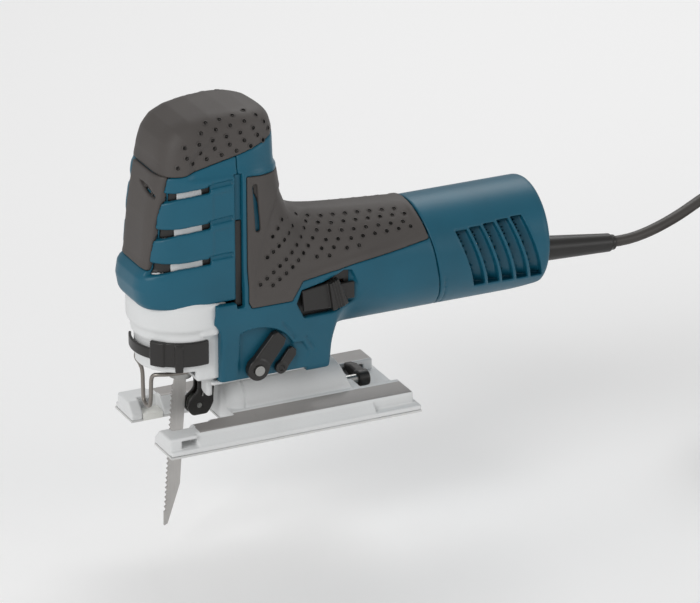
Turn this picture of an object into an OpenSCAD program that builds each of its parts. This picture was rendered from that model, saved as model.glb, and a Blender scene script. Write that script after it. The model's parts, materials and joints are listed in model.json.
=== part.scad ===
// Barrel-grip jigsaw, built as separate pieces.
// +X is the rear (cord end), -X the cutting direction, +Z is up.
// Origin: centre of the sole's underside. The blade hangs below the sole.

/* [Motor barrel] */
// Height of the motor axis above the sole
motor_z = 84; // [84:0.5:85]
// Outer radius of the barrel
barrel_r = 33; // [33:0.25:34]
// Rear end of the barrel
barrel_end_x = 166; // [165:1:168]

/* [Head] */
// Highest point of the soft cap
dome_top = 196; // [194:1:198]
// Wall of the plastic shells
shell_wall = 2.4; // [2:0.1:2.6]
// Thickness of the soft grip
grip_skin = 2; // [1.6:0.1:2]

/* [Base] */
// Length of the base plate
base_len = 157.4; // [156:0.1:158]
// Width of the base plate
base_w = 81.4; // [80:0.1:82]
// Height of the plate's deck
deck_z = 11; // [10.5:0.1:11]
// Half width of the blade slot
slot_half = 16.5; // [16.5:0.1:17]
// Radius of the bevel saddle about the bevel axis
saddle_r = 27; // [26.5:0.1:27]

/* [Drive] */
// Lean of the plunger and blade
lean = 4.2; // [4:0.1:4.4]
// Stroke of the blade
stroke = 26; // [20:1:26]
// Teeth on the drive gear
gear_teeth = 46; // [46:1:46]
// Teeth on the motor pinion
pinion_teeth = 9; // [9:1:9]
// Gear module
tooth_module = 1; // [1:1:1]

/* [Cord] */
// Diameter of the mains cord
cord_d = 6.6; // [6:0.1:7]

/* [Hidden] */
$fn = 48;

blue = "#1e5c73";
soft = "#504b48";
black = "#2a2725";
metal = "#c9cbcc";
steel = "#9a9a98";
copper = "#b06a3a";

// Driving places
plunger_foot = [-55.2, 0, 34];
nose_x = -55;
nose_r = 26.5;
groove_x = -31;
seam_x = 92;
gear_r = tooth_module * gear_teeth / 2;
pinion_r = tooth_module * pinion_teeth / 2;
gear_z = motor_z + gear_r + pinion_r;
gear_x = -30;
pin_orbit = stroke / 2;
yoke_z = (gear_z - plunger_foot[2]) / cos(lean);
rod_r = 5;
wall_x = [-14, -4];
rail_half = 35;
flange_z = 4;
sole_t = 1.2;
deck_skin = 3;
fork_pivot = [-38, 0, 37];
roller_pos = [-45, 0, 13];
roller_r = 6;
orbit_pivot = [-21, 0, 42];
blower_pivot = [-6, 0, 40];
relief_start = [165, 0, 70.5];
relief_droop = 5;
relief_len = 60;
dial_at = [160, 104];
vent_x0 = 112;
vent_step = 10.4;
vent_lean = 14;
coil_at = [350, 8, 0];
coil_mid_r = 36;

// The touch guard's wire, from its seat on the left round to the nose's far side
GUARD_ROUTE = [[-46, -12, 36.8], [-58, -12, 36.8], [-66, -11.4, 36.6], [-71, -9.4, 36.2], [-74, -7, 34.8],
    [-75.3, -5.6, 32], [-75.7, -5.2, 27], [-75.9, -5, 21], [-76, -4, 18.8], [-76.1, -1.6, 18], [-76.1, 1.6, 18],
    [-76, 4, 18.8], [-75.9, 5, 21], [-75.9, 5, 28], [-76.2, 5.2, 33], [-77.6, 5.6, 36.6], [-79.8, 6, 39.8],
    [-82, 6.4, 42.6], [-83, 6.6, 45.6]];

// Mains cord: the free run from the strain relief to the coil
CORD_ROUTE = [[205, 0, 67], [226, 0, 65], [240, 1.5, 65], [257, 5, 67], [277, 12, 70], [294, 20, 73],
    [306, 26.5, 73.5], [318, 33, 71], [329, 39, 64.5], [338, 44, 55.5], [345.5, 48, 45.5], [353, 50.8, 36.5],
    [361, 51.3, 29.5], [369, 49.4, 25], [376, 45.4, 23.1]];

// A cylinder along +X on the line y = 0, z = z0
module rod_x(x0, x1, r, z0 = motor_z) {
    translate([x0, 0, z0]) rotate([0, 90, 0]) cylinder(h = x1 - x0, r = r);
}

// A cylinder along +Y, from y0 to y1, at x, z
module rod_y(x, z, y0, y1, r) {
    translate([x, y0, z]) rotate([-90, 0, 0]) cylinder(h = y1 - y0, r = r);
}

// A box given by its lowest and highest corners
module block(a, b) {
    translate(a) cube(b - a);
}

// Shapes built on the leaning plunger axis
module on_plunger() {
    translate(plunger_foot) rotate([0, lean, 0]) children();
}

// Plan of the head, drawn in by d
module head_plan(d = 0) {
    polygon([[-83 + d, -13 + d * 0.3], [-80 + d * 0.8, -19 + d * 0.5], [-70 + d * 0.6, -27.5 + d * 0.8],
        [-56, -31.5 + d], [-40, -33.5 + d], [-18, -33.5 + d], [-6 - d * 0.5, -28 + d], [2 - d, -16 + d * 0.5],
        [4 - d, -6], [4 - d, 6], [2 - d, 16 - d * 0.5], [-6 - d * 0.5, 28 - d], [-18, 33.5 - d],
        [-40, 33.5 - d], [-56, 31.5 - d], [-70 + d * 0.6, 27.5 - d * 0.8], [-80 + d * 0.8, 19 - d * 0.5],
        [-83 + d, 13 - d * 0.3]]);
}

module head_prism(d, z0, z1) {
    translate([0, 0, z0]) linear_extrude(z1 - z0) head_plan(d);
}

// Cross-section of the lower body in the YZ plane, drawn in by d
module keel_section(d) {
    polygon([[-20 + d, 33 + d], [-26 + d, 36 + d * 0.6], [-30 + d, 50], [-33 + d, 70], [-33 + d, motor_z],
        [33 - d, motor_z], [33 - d, 70], [30 - d, 50], [26 - d, 36 + d * 0.6], [20 - d, 33 + d]]);
}

// Outer form of the body behind the head's groove, drawn in by d
module body_form(d) {
    head_prism(d, 70, 157 - d);
    rod_x(-10, seam_x + 1, barrel_r - d);
    translate([-42 + d, 0, 0]) rotate([90, 0, 90]) linear_extrude(72 - 2 * d) keel_section(d);
}

// What the soft sleeve covers: the neck, the saddle and the top front of the barrel
module grip_zone() {
    rotate([90, 0, 0]) translate([0, 0, -40]) linear_extrude(80)
        polygon([[-22, 152], [10, 152], [14, 120], [88, 120], [88, 84], [70, 84], [54, 98], [4, 72], [-16, 74],
            [-22, 84]]);
}

// The mirrored halves of the body shell, before they are split
module shell_full() {
    difference() {
        body_form(0);
        difference() {
            grip_zone();
            body_form(grip_skin);
        }
        body_form(grip_skin + shell_wall);
        block([-100, -50, 0], [groove_x, 50, 200]);
        block([seam_x, -50, 0], [seam_x + 5, 50, 200]);
        block([-43, -16, 20], [-20, 16, 45]);
        block([-43, -9.3, 20], [18.4, 9.3, 46]);
        for (side = [-1, 1]) {
            block([5, side * 34 - 7, 73], [49, side * 34 + 7, 90]);
        }
        rod_y(orbit_pivot[0], orbit_pivot[2], -40, 0, 4.3);
        rod_y(orbit_pivot[0], orbit_pivot[2], -40, -28.7, 29.5);
        rod_y(blower_pivot[0], blower_pivot[2], -40, 0, 2.4);
        rod_y(blower_pivot[0], blower_pivot[2], -40, -28.5, 18);
        saddle_room();
    }
}

// Room that the base plate needs when it is tilted, and the vault's seat
module saddle_room() {
    rod_x(-120, 120, saddle_r + 0.3, 0);
    rotate([90, 0, 90]) translate([0, 0, -120]) linear_extrude(240)
        polygon([[-9.5, 25.6], [-17.5, 33], [-45, 33], [-45, 0], [45, 0], [45, 33], [17.5, 33], [9.5, 25.6]]);
}

module shell_half(side) {
    color(blue) difference() {
        union() {
            intersection() {
                shell_full();
                translate([-100, side < 0 ? -60 : 0, 0]) cube([300, 60, 220]);
            }
            for (p = shell_screw_at) {
                rod_y(p[0], p[1], side < 0 ? -27 : 0.2, side < 0 ? -0.2 : 27, 4.5);
            }
        }
        for (p = shell_screw_at) {
            rod_y(p[0], p[1], -25, 40, 2.05);
            rod_y(p[0], p[1], 26, 40, 4);
        }
    }
}

module shell_left() {
    shell_half(-1);
}

module shell_right() {
    shell_half(1);
}

module neck_grip() {
    color(soft) difference() {
        intersection() {
            body_form(0);
            grip_zone();
        }
        body_form(grip_skin);
        for (side = [-1, 1]) {
            block([5, side * 34 - 7, 73], [49, side * 34 + 7, 90]);
        }
    }
}

// Ribbed cover over the front of the head
module gear_cover() {
    color(blue) difference() {
        union() {
            head_prism(0, 84, 157);
            translate([nose_x, 0, 78]) cylinder(h = 22, r = 33);
            block([nose_x, -33.4, 78], [groove_x - 1, 33.4, 100]);
        }
        head_prism(shell_wall, 80, 160);
        translate([nose_x, 0, 70]) cylinder(h = 24, r = 31.4);
        block([nose_x, -31.4, 70], [groove_x + 1, 31.4, 94]);
        block([groove_x - 1, -50, 60], [40, 50, 170]);
        block([-100, -13, 104], [-70, 13, 160]);
        for (k = [0:2]) {
            difference() {
                block([-90, -50, 107 + 20 * k], [-43, 50, 113 + 20 * k]);
                block([-90, -13, 100], [-60, 13, 160]);
            }
        }
    }
}

// Soft cap over the head, with the strip down the front
module grip_cap() {
    color(soft) {
        difference() {
            hull() {
                translate([-57, 0, 170]) cylinder(h = 1, r = 24);
                translate([-25, 0, 157]) cylinder(h = 14, r = 29);
                translate([-50, 0, dome_top - 16]) sphere(r = 16);
                translate([-26, 0, dome_top - 20]) sphere(r = 20);
                translate([-69, 0, 157]) cylinder(h = 1, r = 12);
            }
            hull() {
                translate([-57, 0, 167]) cylinder(h = 1, r = 21.5);
                translate([-25, 0, 154]) cylinder(h = 14, r = 26.5);
                translate([-50, 0, dome_top - 19]) sphere(r = 15);
                translate([-26, 0, dome_top - 22]) sphere(r = 19);
                translate([-66, 0, 154]) cylinder(h = 1, r = 12);
            }
        }
        difference() {
            intersection() {
                head_prism(0, 104, 157);
                block([-100, -12.8, 104], [-69.8, 12.8, 157]);
            }
            head_prism(2.4, 100, 160);
        }
    }
}

// The lower rear edge of the barrel is cut off at a slant
module chin_frame() {
    translate([barrel_end_x - 16, 0, motor_z - barrel_r]) rotate([0, -20, 0]) children();
}

module motor_barrel() {
    color(blue) difference() {
        union() {
            difference() {
                rod_x(seam_x, barrel_end_x, barrel_r);
                rod_x(seam_x - 1, barrel_end_x + 1, barrel_r - 3);
            }
            intersection() {
                rod_x(seam_x, barrel_end_x, barrel_r - 1);
                chin_frame() translate([-8, -20, 0]) cube([30, 40, 2.6]);
            }
            bearing_web();
        }
        chin_frame() translate([-8, -30, -20]) cube([40, 60, 20]);
        for (k = [0:4], side = [-1, 1]) {
            translate([vent_x0 + vent_step * k, side * 33, motor_z + 2]) rotate([0, -vent_lean, 0])
                cube([4.5, 14, 32], center = true);
        }
    }
}

// Web that holds the rear bearing
module bearing_web() {
    difference() {
        block([116, -31, 76], [121.9, 31, 92]);
        rod_x(115, 123, 9.5);
    }
}

// Cover in the barrel's end, with the cord's hole and the speed wheel's window
module end_cap() {
    color(blue) difference() {
        rod_x(barrel_end_x - 5, barrel_end_x - 0.8, barrel_r - 3.1);
        chin_frame() translate([-8, -30, -20]) cube([40, 60, 22.8]);
        translate(relief_start) rotate([0, 90 + relief_droop, 0]) cylinder(h = 20, r = 7.02, center = true);
        block([150, -5, 92], [180, 5, 116]);
    }
}

// Cast housing round the gears; its nose shows below the hood
module gear_housing() {
    color(metal) difference() {
        union() {
            housing_walls();
            bush_posts();
            block([-34, -9, 24], [18, 9, 45]);
        }
        on_plunger() translate([0, 0, -8]) cylinder(h = 30, r = 12.5);
        on_plunger() translate([0, 0, 28]) cylinder(h = 18, r = 9);
        on_plunger() translate([0, 0, 106]) cylinder(h = 18, r = 9);
        block([-50, -9, 30], [-33, 9, 52]);
        rod_x(-16, 0, 4, gear_z);
        rod_x(-16, 0, 11);
        rod_y(fork_pivot[0], fork_pivot[2] + 6, -13, 13, 2);
        rod_y(orbit_pivot[0], orbit_pivot[2], -30, -10, 4.05);
        rod_y(blower_pivot[0], blower_pivot[2], -30, -15, 2.05);
        saddle_room();
        for (y = [-20, 20]) {
            rod_x_at(-16, 0, 1.9, y, 96);
        }
    }
}

module housing_walls() {
    difference() {
        union() {
            translate([nose_x, 0, 38]) cylinder(h = 30, r = nose_r);
            translate([nose_x, 0, 68]) cylinder(h = 24, r = 31);
            block([nose_x, -26, 38], [-32, 26, 70]);
            block([-32, -18, 38], [-4, 18, 44]);
            block([-32, -23.2, 43.6], [-4, 23.2, 70]);
            block([nose_x, -30, 66], [-34, 30, 92]);
            head_prism(grip_skin + shell_wall + 0.4, 88, 156.6 - grip_skin - shell_wall);
        }
        translate([nose_x, 0, 41]) cylinder(h = 52, r = 22.5);
        block([nose_x, -20.5, 41], [wall_x[0], 20.5, 75]);
        block([nose_x, -26, 70], [wall_x[0], 26, 94]);
        difference() {
            head_prism(grip_skin + shell_wall + 3, 92, 149);
            block([wall_x[0], -60, 60], [40, 60, 170]);
        }
        block([wall_x[1], -60, 71], [40, 60, 170]);
    }
}

// Webs that carry the plunger's bushes
module bush_posts() {
    on_plunger() {
        translate([0, 0, 29]) cylinder(h = 16, r = 12);
        translate([0, 0, 107]) cylinder(h = 15, r = 12);
    }
    block([-62, -24, 74], [-44, 24, 77]);
    block([-62, -27, 146], [-34, 27, 149]);
}

// Where the shell screws cross, as x and z
shell_screw_at = [[2, 60], [24, 44]];

// Screws that join the two shells, put in from the right
module shell_screws() {
    color(steel) for (p = shell_screw_at) {
        rod_y(p[0], p[1], -24.5, 26, 2);
        rod_y(p[0], p[1], 26.02, 29, 3.8);
    }
}

// Screws through the cast housing's back wall
module gearbox_screws() {
    color(steel) for (y = [-20, 20]) {
        rod_x_at(-12, -3.8, 1.85, y, 96);
        rod_x_at(-3.8, -1, 3.6, y, 96);
    }
}

module rod_x_at(x0, x1, r, y, z) {
    translate([x0, y, z]) rotate([0, 90, 0]) cylinder(h = x1 - x0, r = r);
}

// Sprung wire in front of the blade, one bent rod
module wire_guard() {
    color(steel) tube(GUARD_ROUTE, 1, 8);
}

module fork_pin() {
    color(steel) rod_y(fork_pivot[0], fork_pivot[2] + 6, -12.8, 12.8, 1.98);
}

module bush_upper() {
    color("#a88a50") on_plunger() difference() {
        translate([0, 0, 107]) cylinder(h = 15, r = 8.98);
        translate([0, 0, 106]) cylinder(h = 17, r = rod_r + 0.05);
    }
}

module bush_lower() {
    color("#a88a50") on_plunger() difference() {
        translate([0, 0, 29]) cylinder(h = 16, r = 8.98);
        translate([0, 0, 28]) cylinder(h = 18, r = rod_r + 0.05);
    }
}

module gear_axle() {
    color(steel) rod_x(gear_x + 1, -4.5, 3.98, gear_z);
}

// A ball bearing as one ring, wall width w
module bearing(x, w, r_in, r_out) {
    color(steel) difference() {
        rod_x(x, x + w, r_out);
        rod_x(x - 1, x + w + 1, r_in);
    }
}

module bearing_front() {
    bearing(wall_x[0] + 2, 7, 4.02, 10.97);
}

module bearing_rear() {
    bearing(116, 6, 3.52, 9.48);
}

module stator_core() {
    color("#6b6e70") difference() {
        rod_x(36, 84, 26);
        rod_x(35, 85, 17);
        for (side = [-1, 1]) {
            block([35, side * 21 - 2.5, motor_z - 12], [85, side * 21 + 2.5, motor_z + 12]);
        }
    }
}

module stator_windings() {
    color(copper) for (x = [28, 84.2]) {
        difference() {
            rod_x(x, x + 7.5, 25);
            rod_x(x - 1, x + 9, 18);
        }
    }
}

module brush_holders() {
    color("#b39a4a") for (side = [-1, 1]) {
        difference() {
            translate([106, side * 19.5, motor_z]) cube([10, 15, 9], center = true);
            translate([106, side * 19.5, motor_z]) cube([6.4, 17, 5.4], center = true);
        }
    }
}

module carbon_brushes() {
    color("#2b2b2d") for (side = [-1, 1]) {
        difference() {
            translate([106, side * 14, motor_z]) cube([6.2, 9, 5.2], center = true);
            rod_x(95, 120, 10.1);
        }
    }
}

module brush_springs() {
    color(steel) for (side = [-1, 1]) {
        rod_y(106, motor_z, side * 18.6 - (side < 0 ? 7 : 0), side * 18.6 + (side > 0 ? 7 : 0), 2.2);
    }
}

module switch_block() {
    color(black) block([126, -10, 56.5], [146, 10, 72]);
}

module speed_module() {
    color("#3a6b4a") block([126, -12, 98], [149, 12, 110]);
}

// Armature, turning on the barrel's axis
module armature_shaft() {
    color(steel) {
        rod_x(wall_x[0] - 2, 112, 4);
        rod_x(112, 123, 3.5);
        rod_x(-33, wall_x[0] - 2, 2.5);
    }
}

module armature_core() {
    color("#6b6e70") difference() {
        rod_x(36, 84, 16.5);
        rod_x(35, 85, 4);
        for (k = [0:11]) {
            translate([35, 0, motor_z]) rotate([30 * k, 0, 0]) translate([0, -0.9, 11]) cube([50, 1.8, 6]);
        }
    }
}

module armature_windings() {
    color(copper) for (x = [28, 84.1]) {
        difference() {
            rod_x(x, x + 7.9, 14.5);
            rod_x(x - 1, x + 9, 4);
        }
    }
}

module commutator() {
    color(copper) difference() {
        rod_x(94, 111.5, 10);
        rod_x(93, 112, 4);
    }
}

module fan() {
    color(black) {
        difference() {
            rod_x(8, 10, 24);
            rod_x(7, 26, 4);
        }
        difference() {
            rod_x(10, 24, 8);
            rod_x(7, 26, 4);
        }
        for (k = [0:10]) {
            translate([10, 0, motor_z]) rotate([360 / 11 * k, 0, 0]) translate([0, -0.7, 7.5]) cube([10, 1.4, 16]);
        }
    }
}

// Spur teeth as straight-sided prisms, root to tip
module toothed(teeth, x0, x1, z0, bore, turn) {
    pitch = teeth * tooth_module / 2;
    difference() {
        union() {
            rod_x(x0, x1, pitch - 1.2 * tooth_module, z0);
            for (k = [0:teeth - 1]) {
                translate([x0, 0, z0]) rotate([360 / teeth * k + turn, 0, 0]) rotate([90, 0, 90])
                    linear_extrude(x1 - x0) polygon([[-0.9, pitch - 1.9], [0.9, pitch - 1.9],
                        [0.68, pitch], [0.34, pitch + 0.85], [-0.34, pitch + 0.85], [-0.68, pitch]]);
            }
        }
        rod_x(x0 - 1, x1 + 1, bore, z0);
    }
}

module pinion() {
    color(steel) toothed(pinion_teeth, -31, -21, motor_z, 2.5, 0);
}

module drive_gear() {
    color(steel) difference() {
        toothed(gear_teeth, gear_x, gear_x + 8, gear_z, 4.03, 180 + 180 / gear_teeth);
        translate([0, pin_orbit, 0]) rod_x(gear_x - 1, gear_x + 6, 4.2, gear_z);
    }
}

module drive_pin() {
    color(steel) translate([0, pin_orbit, 0]) rod_x(gear_x - 5, gear_x + 5.9, 4.2, gear_z);
}

module counterweight() {
    color("#7c7e80") intersection() {
        rod_x(gear_x - 4, gear_x, 19, gear_z);
        block([gear_x - 5, -20, gear_z - 20], [gear_x + 1, -5, gear_z + 20]);
    }
}

// Plunger, its yoke and the blade holder
module plunger_rod() {
    color(steel) on_plunger() translate([0, 0, 8]) cylinder(h = 129, r = rod_r);
}

module yoke_plate() {
    color(steel) on_plunger() difference() {
        union() {
            translate([6.2, -22, yoke_z - 9]) cube([4, 44, 18]);
            translate([-8, -8, yoke_z - 7]) cube([16.2, 16, 14]);
        }
        translate([0, 0, yoke_z - 10]) cylinder(h = 20, r = rod_r);
        translate([7.4, -17.6, yoke_z - 4.5]) cube([4, 35.2, 9]);
    }
}

module blade_holder() {
    color("#55585a") on_plunger() difference() {
        union() {
            cylinder(h = 13, r = 8);
            translate([0, 0, -2]) cylinder(h = 2, r = 6.5);
        }
        translate([0, 0, 8]) cylinder(h = 6, r = rod_r);
        translate([-3.5, -0.75, -3]) cube([7, 1.5, 11]);
    }
}

module holder_spring() {
    color(steel) on_plunger() difference() {
        translate([0, 0, 13]) cylinder(h = 2.6, r = 7.4);
        translate([0, 0, 12]) cylinder(h = 5, r = rod_r);
    }
}

// Saw blade: plain back, cut teeth on the leading edge, pointed end
module blade() {
    teeth = 26;
    step = 3;
    color("#b8b9ba") on_plunger() rotate([90, 0, 0]) linear_extrude(1.2, center = true) polygon(concat(
        [[3.3, 7.5], [3.3, -2.4], [3.8, -3.4], [3.8, -69], [-2.5, -93.5], [-4.6, -94.5]],
        [for (k = [teeth:-1:0]) for (p = [[-5.1, -8 - step * k], [-3.9, -6.9 - step * k]]) p],
        [[-3.3, -2.4], [-3.3, 7.5]]));
}

// Blade-release lever: part of a ring about the nose
module release_lever() {
    color(black) difference() {
        translate([nose_x, 0, 49]) cylinder(h = 15, r = nose_r + 2.6);
        translate([nose_x, 0, 40]) cylinder(h = 30, r = nose_r + 0.35);
        translate([nose_x, 0, 40]) cube([60, 60, 30]);
        translate([nose_x, 0, 40]) rotate([0, 0, 90]) cube([60, 60, 30]);
        translate([nose_x + 5.5, -60, 40]) cube([60, 60, 30]);
        translate([nose_x, 0, 40]) rotate([0, 0, 120]) cube([60, 60, 30]);
    }
    color(black) intersection() {
        difference() {
            translate([nose_x, 0, 46]) cylinder(h = 18, r = nose_r + 4);
            translate([nose_x, 0, 40]) cylinder(h = 30, r = nose_r + 0.35);
        }
        translate([nose_x, 0, 40]) rotate([0, 0, 240]) cube([60, 5, 30]);
    }
}

// Fork that carries the guide roller behind the blade
module roller_fork() {
    color(black) difference() {
        union() {
            for (side = [-1, 1]) {
                y0 = side * 2.9 - 0.8;
                rod_y(roller_pos[0], roller_pos[2], y0, y0 + 1.6, 5);
                translate([0, y0 + 1.6, 0]) rotate([90, 0, 0]) linear_extrude(1.6)
                    polygon([[-45, 8.2], [-38, 8.2], [-34.5, 13], [-34, 22], [-40, 22], [-40, 32], [-46, 32],
                        [-46, 24], [-48, 17]]);
            }
            block([-45.5, -3.7, 28], [-40.5, 3.7, 41]);
            rod_y(fork_pivot[0], fork_pivot[2] + 6, -6, 6, 4);
            block([-42.5, -3.7, 38], [-38, 3.7, 43]);
        }
        rod_y(fork_pivot[0], fork_pivot[2] + 6, -10, 10, 2.04);
        rod_y(roller_pos[0], roller_pos[2], -5, 5, 1.5);
    }
}

module roller_pin() {
    color(steel) rod_y(roller_pos[0], roller_pos[2], -4, 4, 1.48);
}

module guide_roller() {
    color(steel) translate(roller_pos) rotate([90, 0, 0]) rotate_extrude()
        polygon([[1.53, -2], [roller_r, -2], [roller_r, -1], [roller_r - 1.5, -0.8], [roller_r - 1.5, 0.8],
            [roller_r, 1], [roller_r, 2], [1.53, 2]]);
}

// Orbital selector on the left side, with its cam shaft
module orbit_lever() {
    x = orbit_pivot[0];
    z = orbit_pivot[2];
    color(black) difference() {
        union() {
            rod_y(x, z, -34, -29, 7.5);
            translate([x, -29, z]) rotate([90, 0, 0]) rotate([0, 0, 49]) linear_extrude(4.5)
                polygon([[0, -6], [25, -5.2], [27.5, -2], [26, 5.4], [0, 6]]);
            rod_y(x, z, -29, -14, 4);
        }
        rod_y(x, z, -35, -26, 1.6);
    }
}

module orbit_screw() {
    color(steel) {
        rod_y(orbit_pivot[0], orbit_pivot[2], -33.9, -26.5, 1.58);
        rod_y(orbit_pivot[0], orbit_pivot[2], -35.4, -34.02, 3);
    }
}

module blower_lever() {
    x = blower_pivot[0];
    z = blower_pivot[2];
    color(black) {
        rod_y(x, z, -32.5, -28.8, 4.6);
        translate([x, -28.8, z]) rotate([90, 0, 0]) rotate([0, 0, 49]) linear_extrude(3)
            polygon([[0, -4], [15, -3.4], [16.5, 0], [15, 3.4], [0, 3]]);
        rod_y(x, z, -28.8, -17, 2);
    }
}

// One side's slider of the on/off switch
module slider(side) {
    color(black) {
        block([8, min(side * 31.9, side * 35.4), 75], [42, max(side * 31.9, side * 35.4), 87]);
        for (k = [0:3]) {
            block([31 + 2.6 * k, min(side * 35.4, side * 36.2), 76], [32.2 + 2.6 * k, max(side * 35.4, side * 36.2), 86]);
        }
    }
}

module slider_left() {
    slider(-1);
}

module slider_right() {
    slider(1);
}

// Strap under the motor that joins both sliders to the switch
module switch_link() {
    color(black) {
        difference() {
            rod_x(16, 22, 28.3);
            rod_x(15, 23, 26.8);
            block([15, -40, motor_z - 6], [23, 40, 140]);
        }
        for (side = [-1, 1]) {
            block([16, min(side * 26.9, side * 31.9), motor_z - 6.6], [22, max(side * 26.9, side * 31.9), motor_z - 3]);
        }
        block([22, -5, 56.2], [120, 5, 57.2]);
    }
}

module speed_dial() {
    color(black) rod_y(dial_at[0], dial_at[1], -4, 4, 9);
}

// Cast base plate
module base_plate() {
    half = base_len / 2;
    side = base_w / 2;
    color(metal) difference() {
        union() {
            block([-half + 0.4, -side, sole_t], [half, side, flange_z]);
            block([-half + 0.4, -rail_half, sole_t], [half - 2.5, rail_half, deck_z]);
            translate([-62, 0, 0]) rotate([90, 0, 90]) linear_extrude(117)
                polygon([[-side + 0.7, sole_t], [-side + 0.7, flange_z], [-rail_half, deck_z], [rail_half, deck_z],
                    [side - 0.7, flange_z], [side - 0.7, sole_t]]);
            intersection() {
                rod_x(-33, 45, saddle_r, 0);
                translate([-33, 0, 0]) rotate([90, 0, 90]) linear_extrude(78)
                    polygon([[-15, 2], [-15, 18], [-12.5, 22.5], [-7, 26.5], [0, 28], [7, 26.5], [12.5, 22.5],
                        [15, 18], [15, 2]]);
            }
        }
        // Blade slot, with its wide part and the chamfers on the prongs
        block([-half - 1, -slot_half, -1], [-31, slot_half, 40]);
        block([-71.6, -26, -1], [-58.8, 26, 40]);
        translate([-90, 0, 0]) rotate([90, 0, 90]) linear_extrude(43)
            polygon([[-16, 4.5], [-24, 12.5], [24, 12.5], [16, 4.5]]);
        translate([-48, 0, 0]) rotate([90, 0, 90]) linear_extrude(17)
            polygon([[-16, 6.5], [-22, 12.5], [22, 12.5], [16, 6.5]]);
        // Hollow under the saddle, open at the front
        block([-34, -12, -1], [42, 12, 14]);
        intersection() {
            rod_x(-34, 42, saddle_r - 3, 0);
            block([-35, -12, 10], [42, 12, 30]);
        }
        // Pockets under the deck
        for (y = [-1, 1]) {
            block([-52, min(y * 18.5, y * 32.5), -1], [70, max(y * 18.5, y * 32.5), deck_z - deck_skin]);
        }
        // Slot for the parallel guide, across both rails
        block([-71, -50, flange_z + 0.4], [-61.5, 50, 9]);
        // Recess for the bevel lever
        block([52, -14.5, flange_z], [90, 19.5, 40]);
        rod_x_at(38, 60, 3.1, 0, 9);
    }
}

module sole_plate() {
    half = base_len / 2;
    side = base_w / 2;
    color(steel) difference() {
        block([-half, -side, 0], [half, side, sole_t]);
        block([-half - 1, -slot_half, -1], [-31, slot_half, 5]);
        block([-71.6, -26, -1], [-58.8, 26, 5]);
    }
}

// Insert that closes the wide part of the slot beside the blade
module splinter_insert() {
    color("#d8d8d4") difference() {
        block([-71.4, -25.8, 0], [-59, 25.8, flange_z]);
        block([-80, -slot_half, -1], [-50, slot_half, 10]);
    }
}

module clamp_screw() {
    color(steel) {
        rod_x_at(30, 62, 3, 0, 9);
    }
}

module clamp_block() {
    color(steel) difference() {
        block([30, -10, 4], [38, 10, 20]);
        rod_x_at(29, 39, 3, 0, 9);
    }
}

module bevel_lever() {
    color(black) difference() {
        union() {
            rod_x_at(56, 64, 6.4, 0, 9.2 + 2);
            translate([57, 0, 0]) rotate([90, 0, 90]) linear_extrude(6)
                polygon([[-2, 5.2], [18, 8], [18, 13], [0, 17.5]]);
        }
        rod_x_at(50, 70, 3.06, 0, 9);
    }
}

// Tapered strain relief at the end cap, drooping a little
module strain_relief() {
    color(black) translate(relief_start) rotate([0, 90 + relief_droop, 0]) difference() {
        union() {
            translate([0, 0, -8]) cylinder(h = 12, r = 7);
            translate([0, 0, 4]) cylinder(h = relief_len - 4, r1 = 7.9, r2 = 4.9);
        }
        translate([0, 0, -9]) cylinder(h = relief_len + 10, r = cord_d / 2 + 0.02);
    }
}

function unit(v) = v / norm(v);
function tangent(i, route) = unit(route[min(i + 1, len(route) - 1)] - route[max(i - 1, 0)]);
function ring(i, route, r, sides) =
    let (t = tangent(i, route), a = unit(cross(t, [0, 0, 1])), b = cross(a, t))
    [for (k = [0:sides - 1]) route[i] + r * (cos(360 * k / sides) * a + sin(360 * k / sides) * b)];

// A round tube with flat ends, swept along a route
module tube(route, r, sides) {
    n = len(route);
    pts = [for (i = [0:n - 1]) each ring(i, route, r, sides)];
    walls = [for (i = [0:n - 2]) for (k = [0:sides - 1])
        [i * sides + k, i * sides + (k + 1) % sides, (i + 1) * sides + (k + 1) % sides, (i + 1) * sides + k]];
    caps = [[for (k = [sides - 1:-1:0]) k], [for (k = [0:sides - 1]) (n - 1) * sides + k]];
    polyhedron(points = pts, faces = concat(walls, caps), convexity = 4);
}

module cord() {
    color("#34312e") tube(CORD_ROUTE, cord_d / 2, 10);
}

// Outer form of the wound cord
module cord_coil() {
    color("#34312e") translate(coil_at) rotate_extrude()
        translate([coil_mid_r - 2 * cord_d, 0]) square([4 * cord_d, 4 * cord_d]);
}

// Two-pin mains plug, lying beside the coil
module plug() {
    color(black) translate([coil_at[0] + coil_mid_r + 1.5 * cord_d, coil_at[1], 0]) {
        block([-4.5, -24, 2], [4.5, 0, 12]);
        block([-9, -48, 0], [9, -22, 20]);
    }
    color("#b8a15a") translate([coil_at[0] + coil_mid_r + 1.5 * cord_d, coil_at[1], 0])
        for (side = [-1, 1]) {
            block([side * 6.35 - 0.75, -65, 7], [side * 6.35 + 0.75, -47, 13.3]);
        }
}

gear_cover();
shell_left();
shell_right();
neck_grip();
grip_cap();
motor_barrel();
end_cap();
gear_housing();
wire_guard();
fork_pin();
bush_upper();
bush_lower();
gear_axle();
bearing_front();
bearing_rear();
stator_core();
stator_windings();
brush_holders();
carbon_brushes();
brush_springs();
switch_block();
speed_module();
shell_screws();
gearbox_screws();
strain_relief();
cord();
cord_coil();
plug();
armature_shaft();
armature_core();
armature_windings();
commutator();
fan();
pinion();
drive_gear();
drive_pin();
counterweight();
plunger_rod();
yoke_plate();
blade_holder();
holder_spring();
blade();
release_lever();
roller_fork();
guide_roller();
roller_pin();
orbit_lever();
orbit_screw();
blower_lever();
slider_left();
slider_right();
switch_link();
speed_dial();
base_plate();
sole_plate();
splinter_insert();
clamp_screw();
clamp_block();
bevel_lever();
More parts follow.
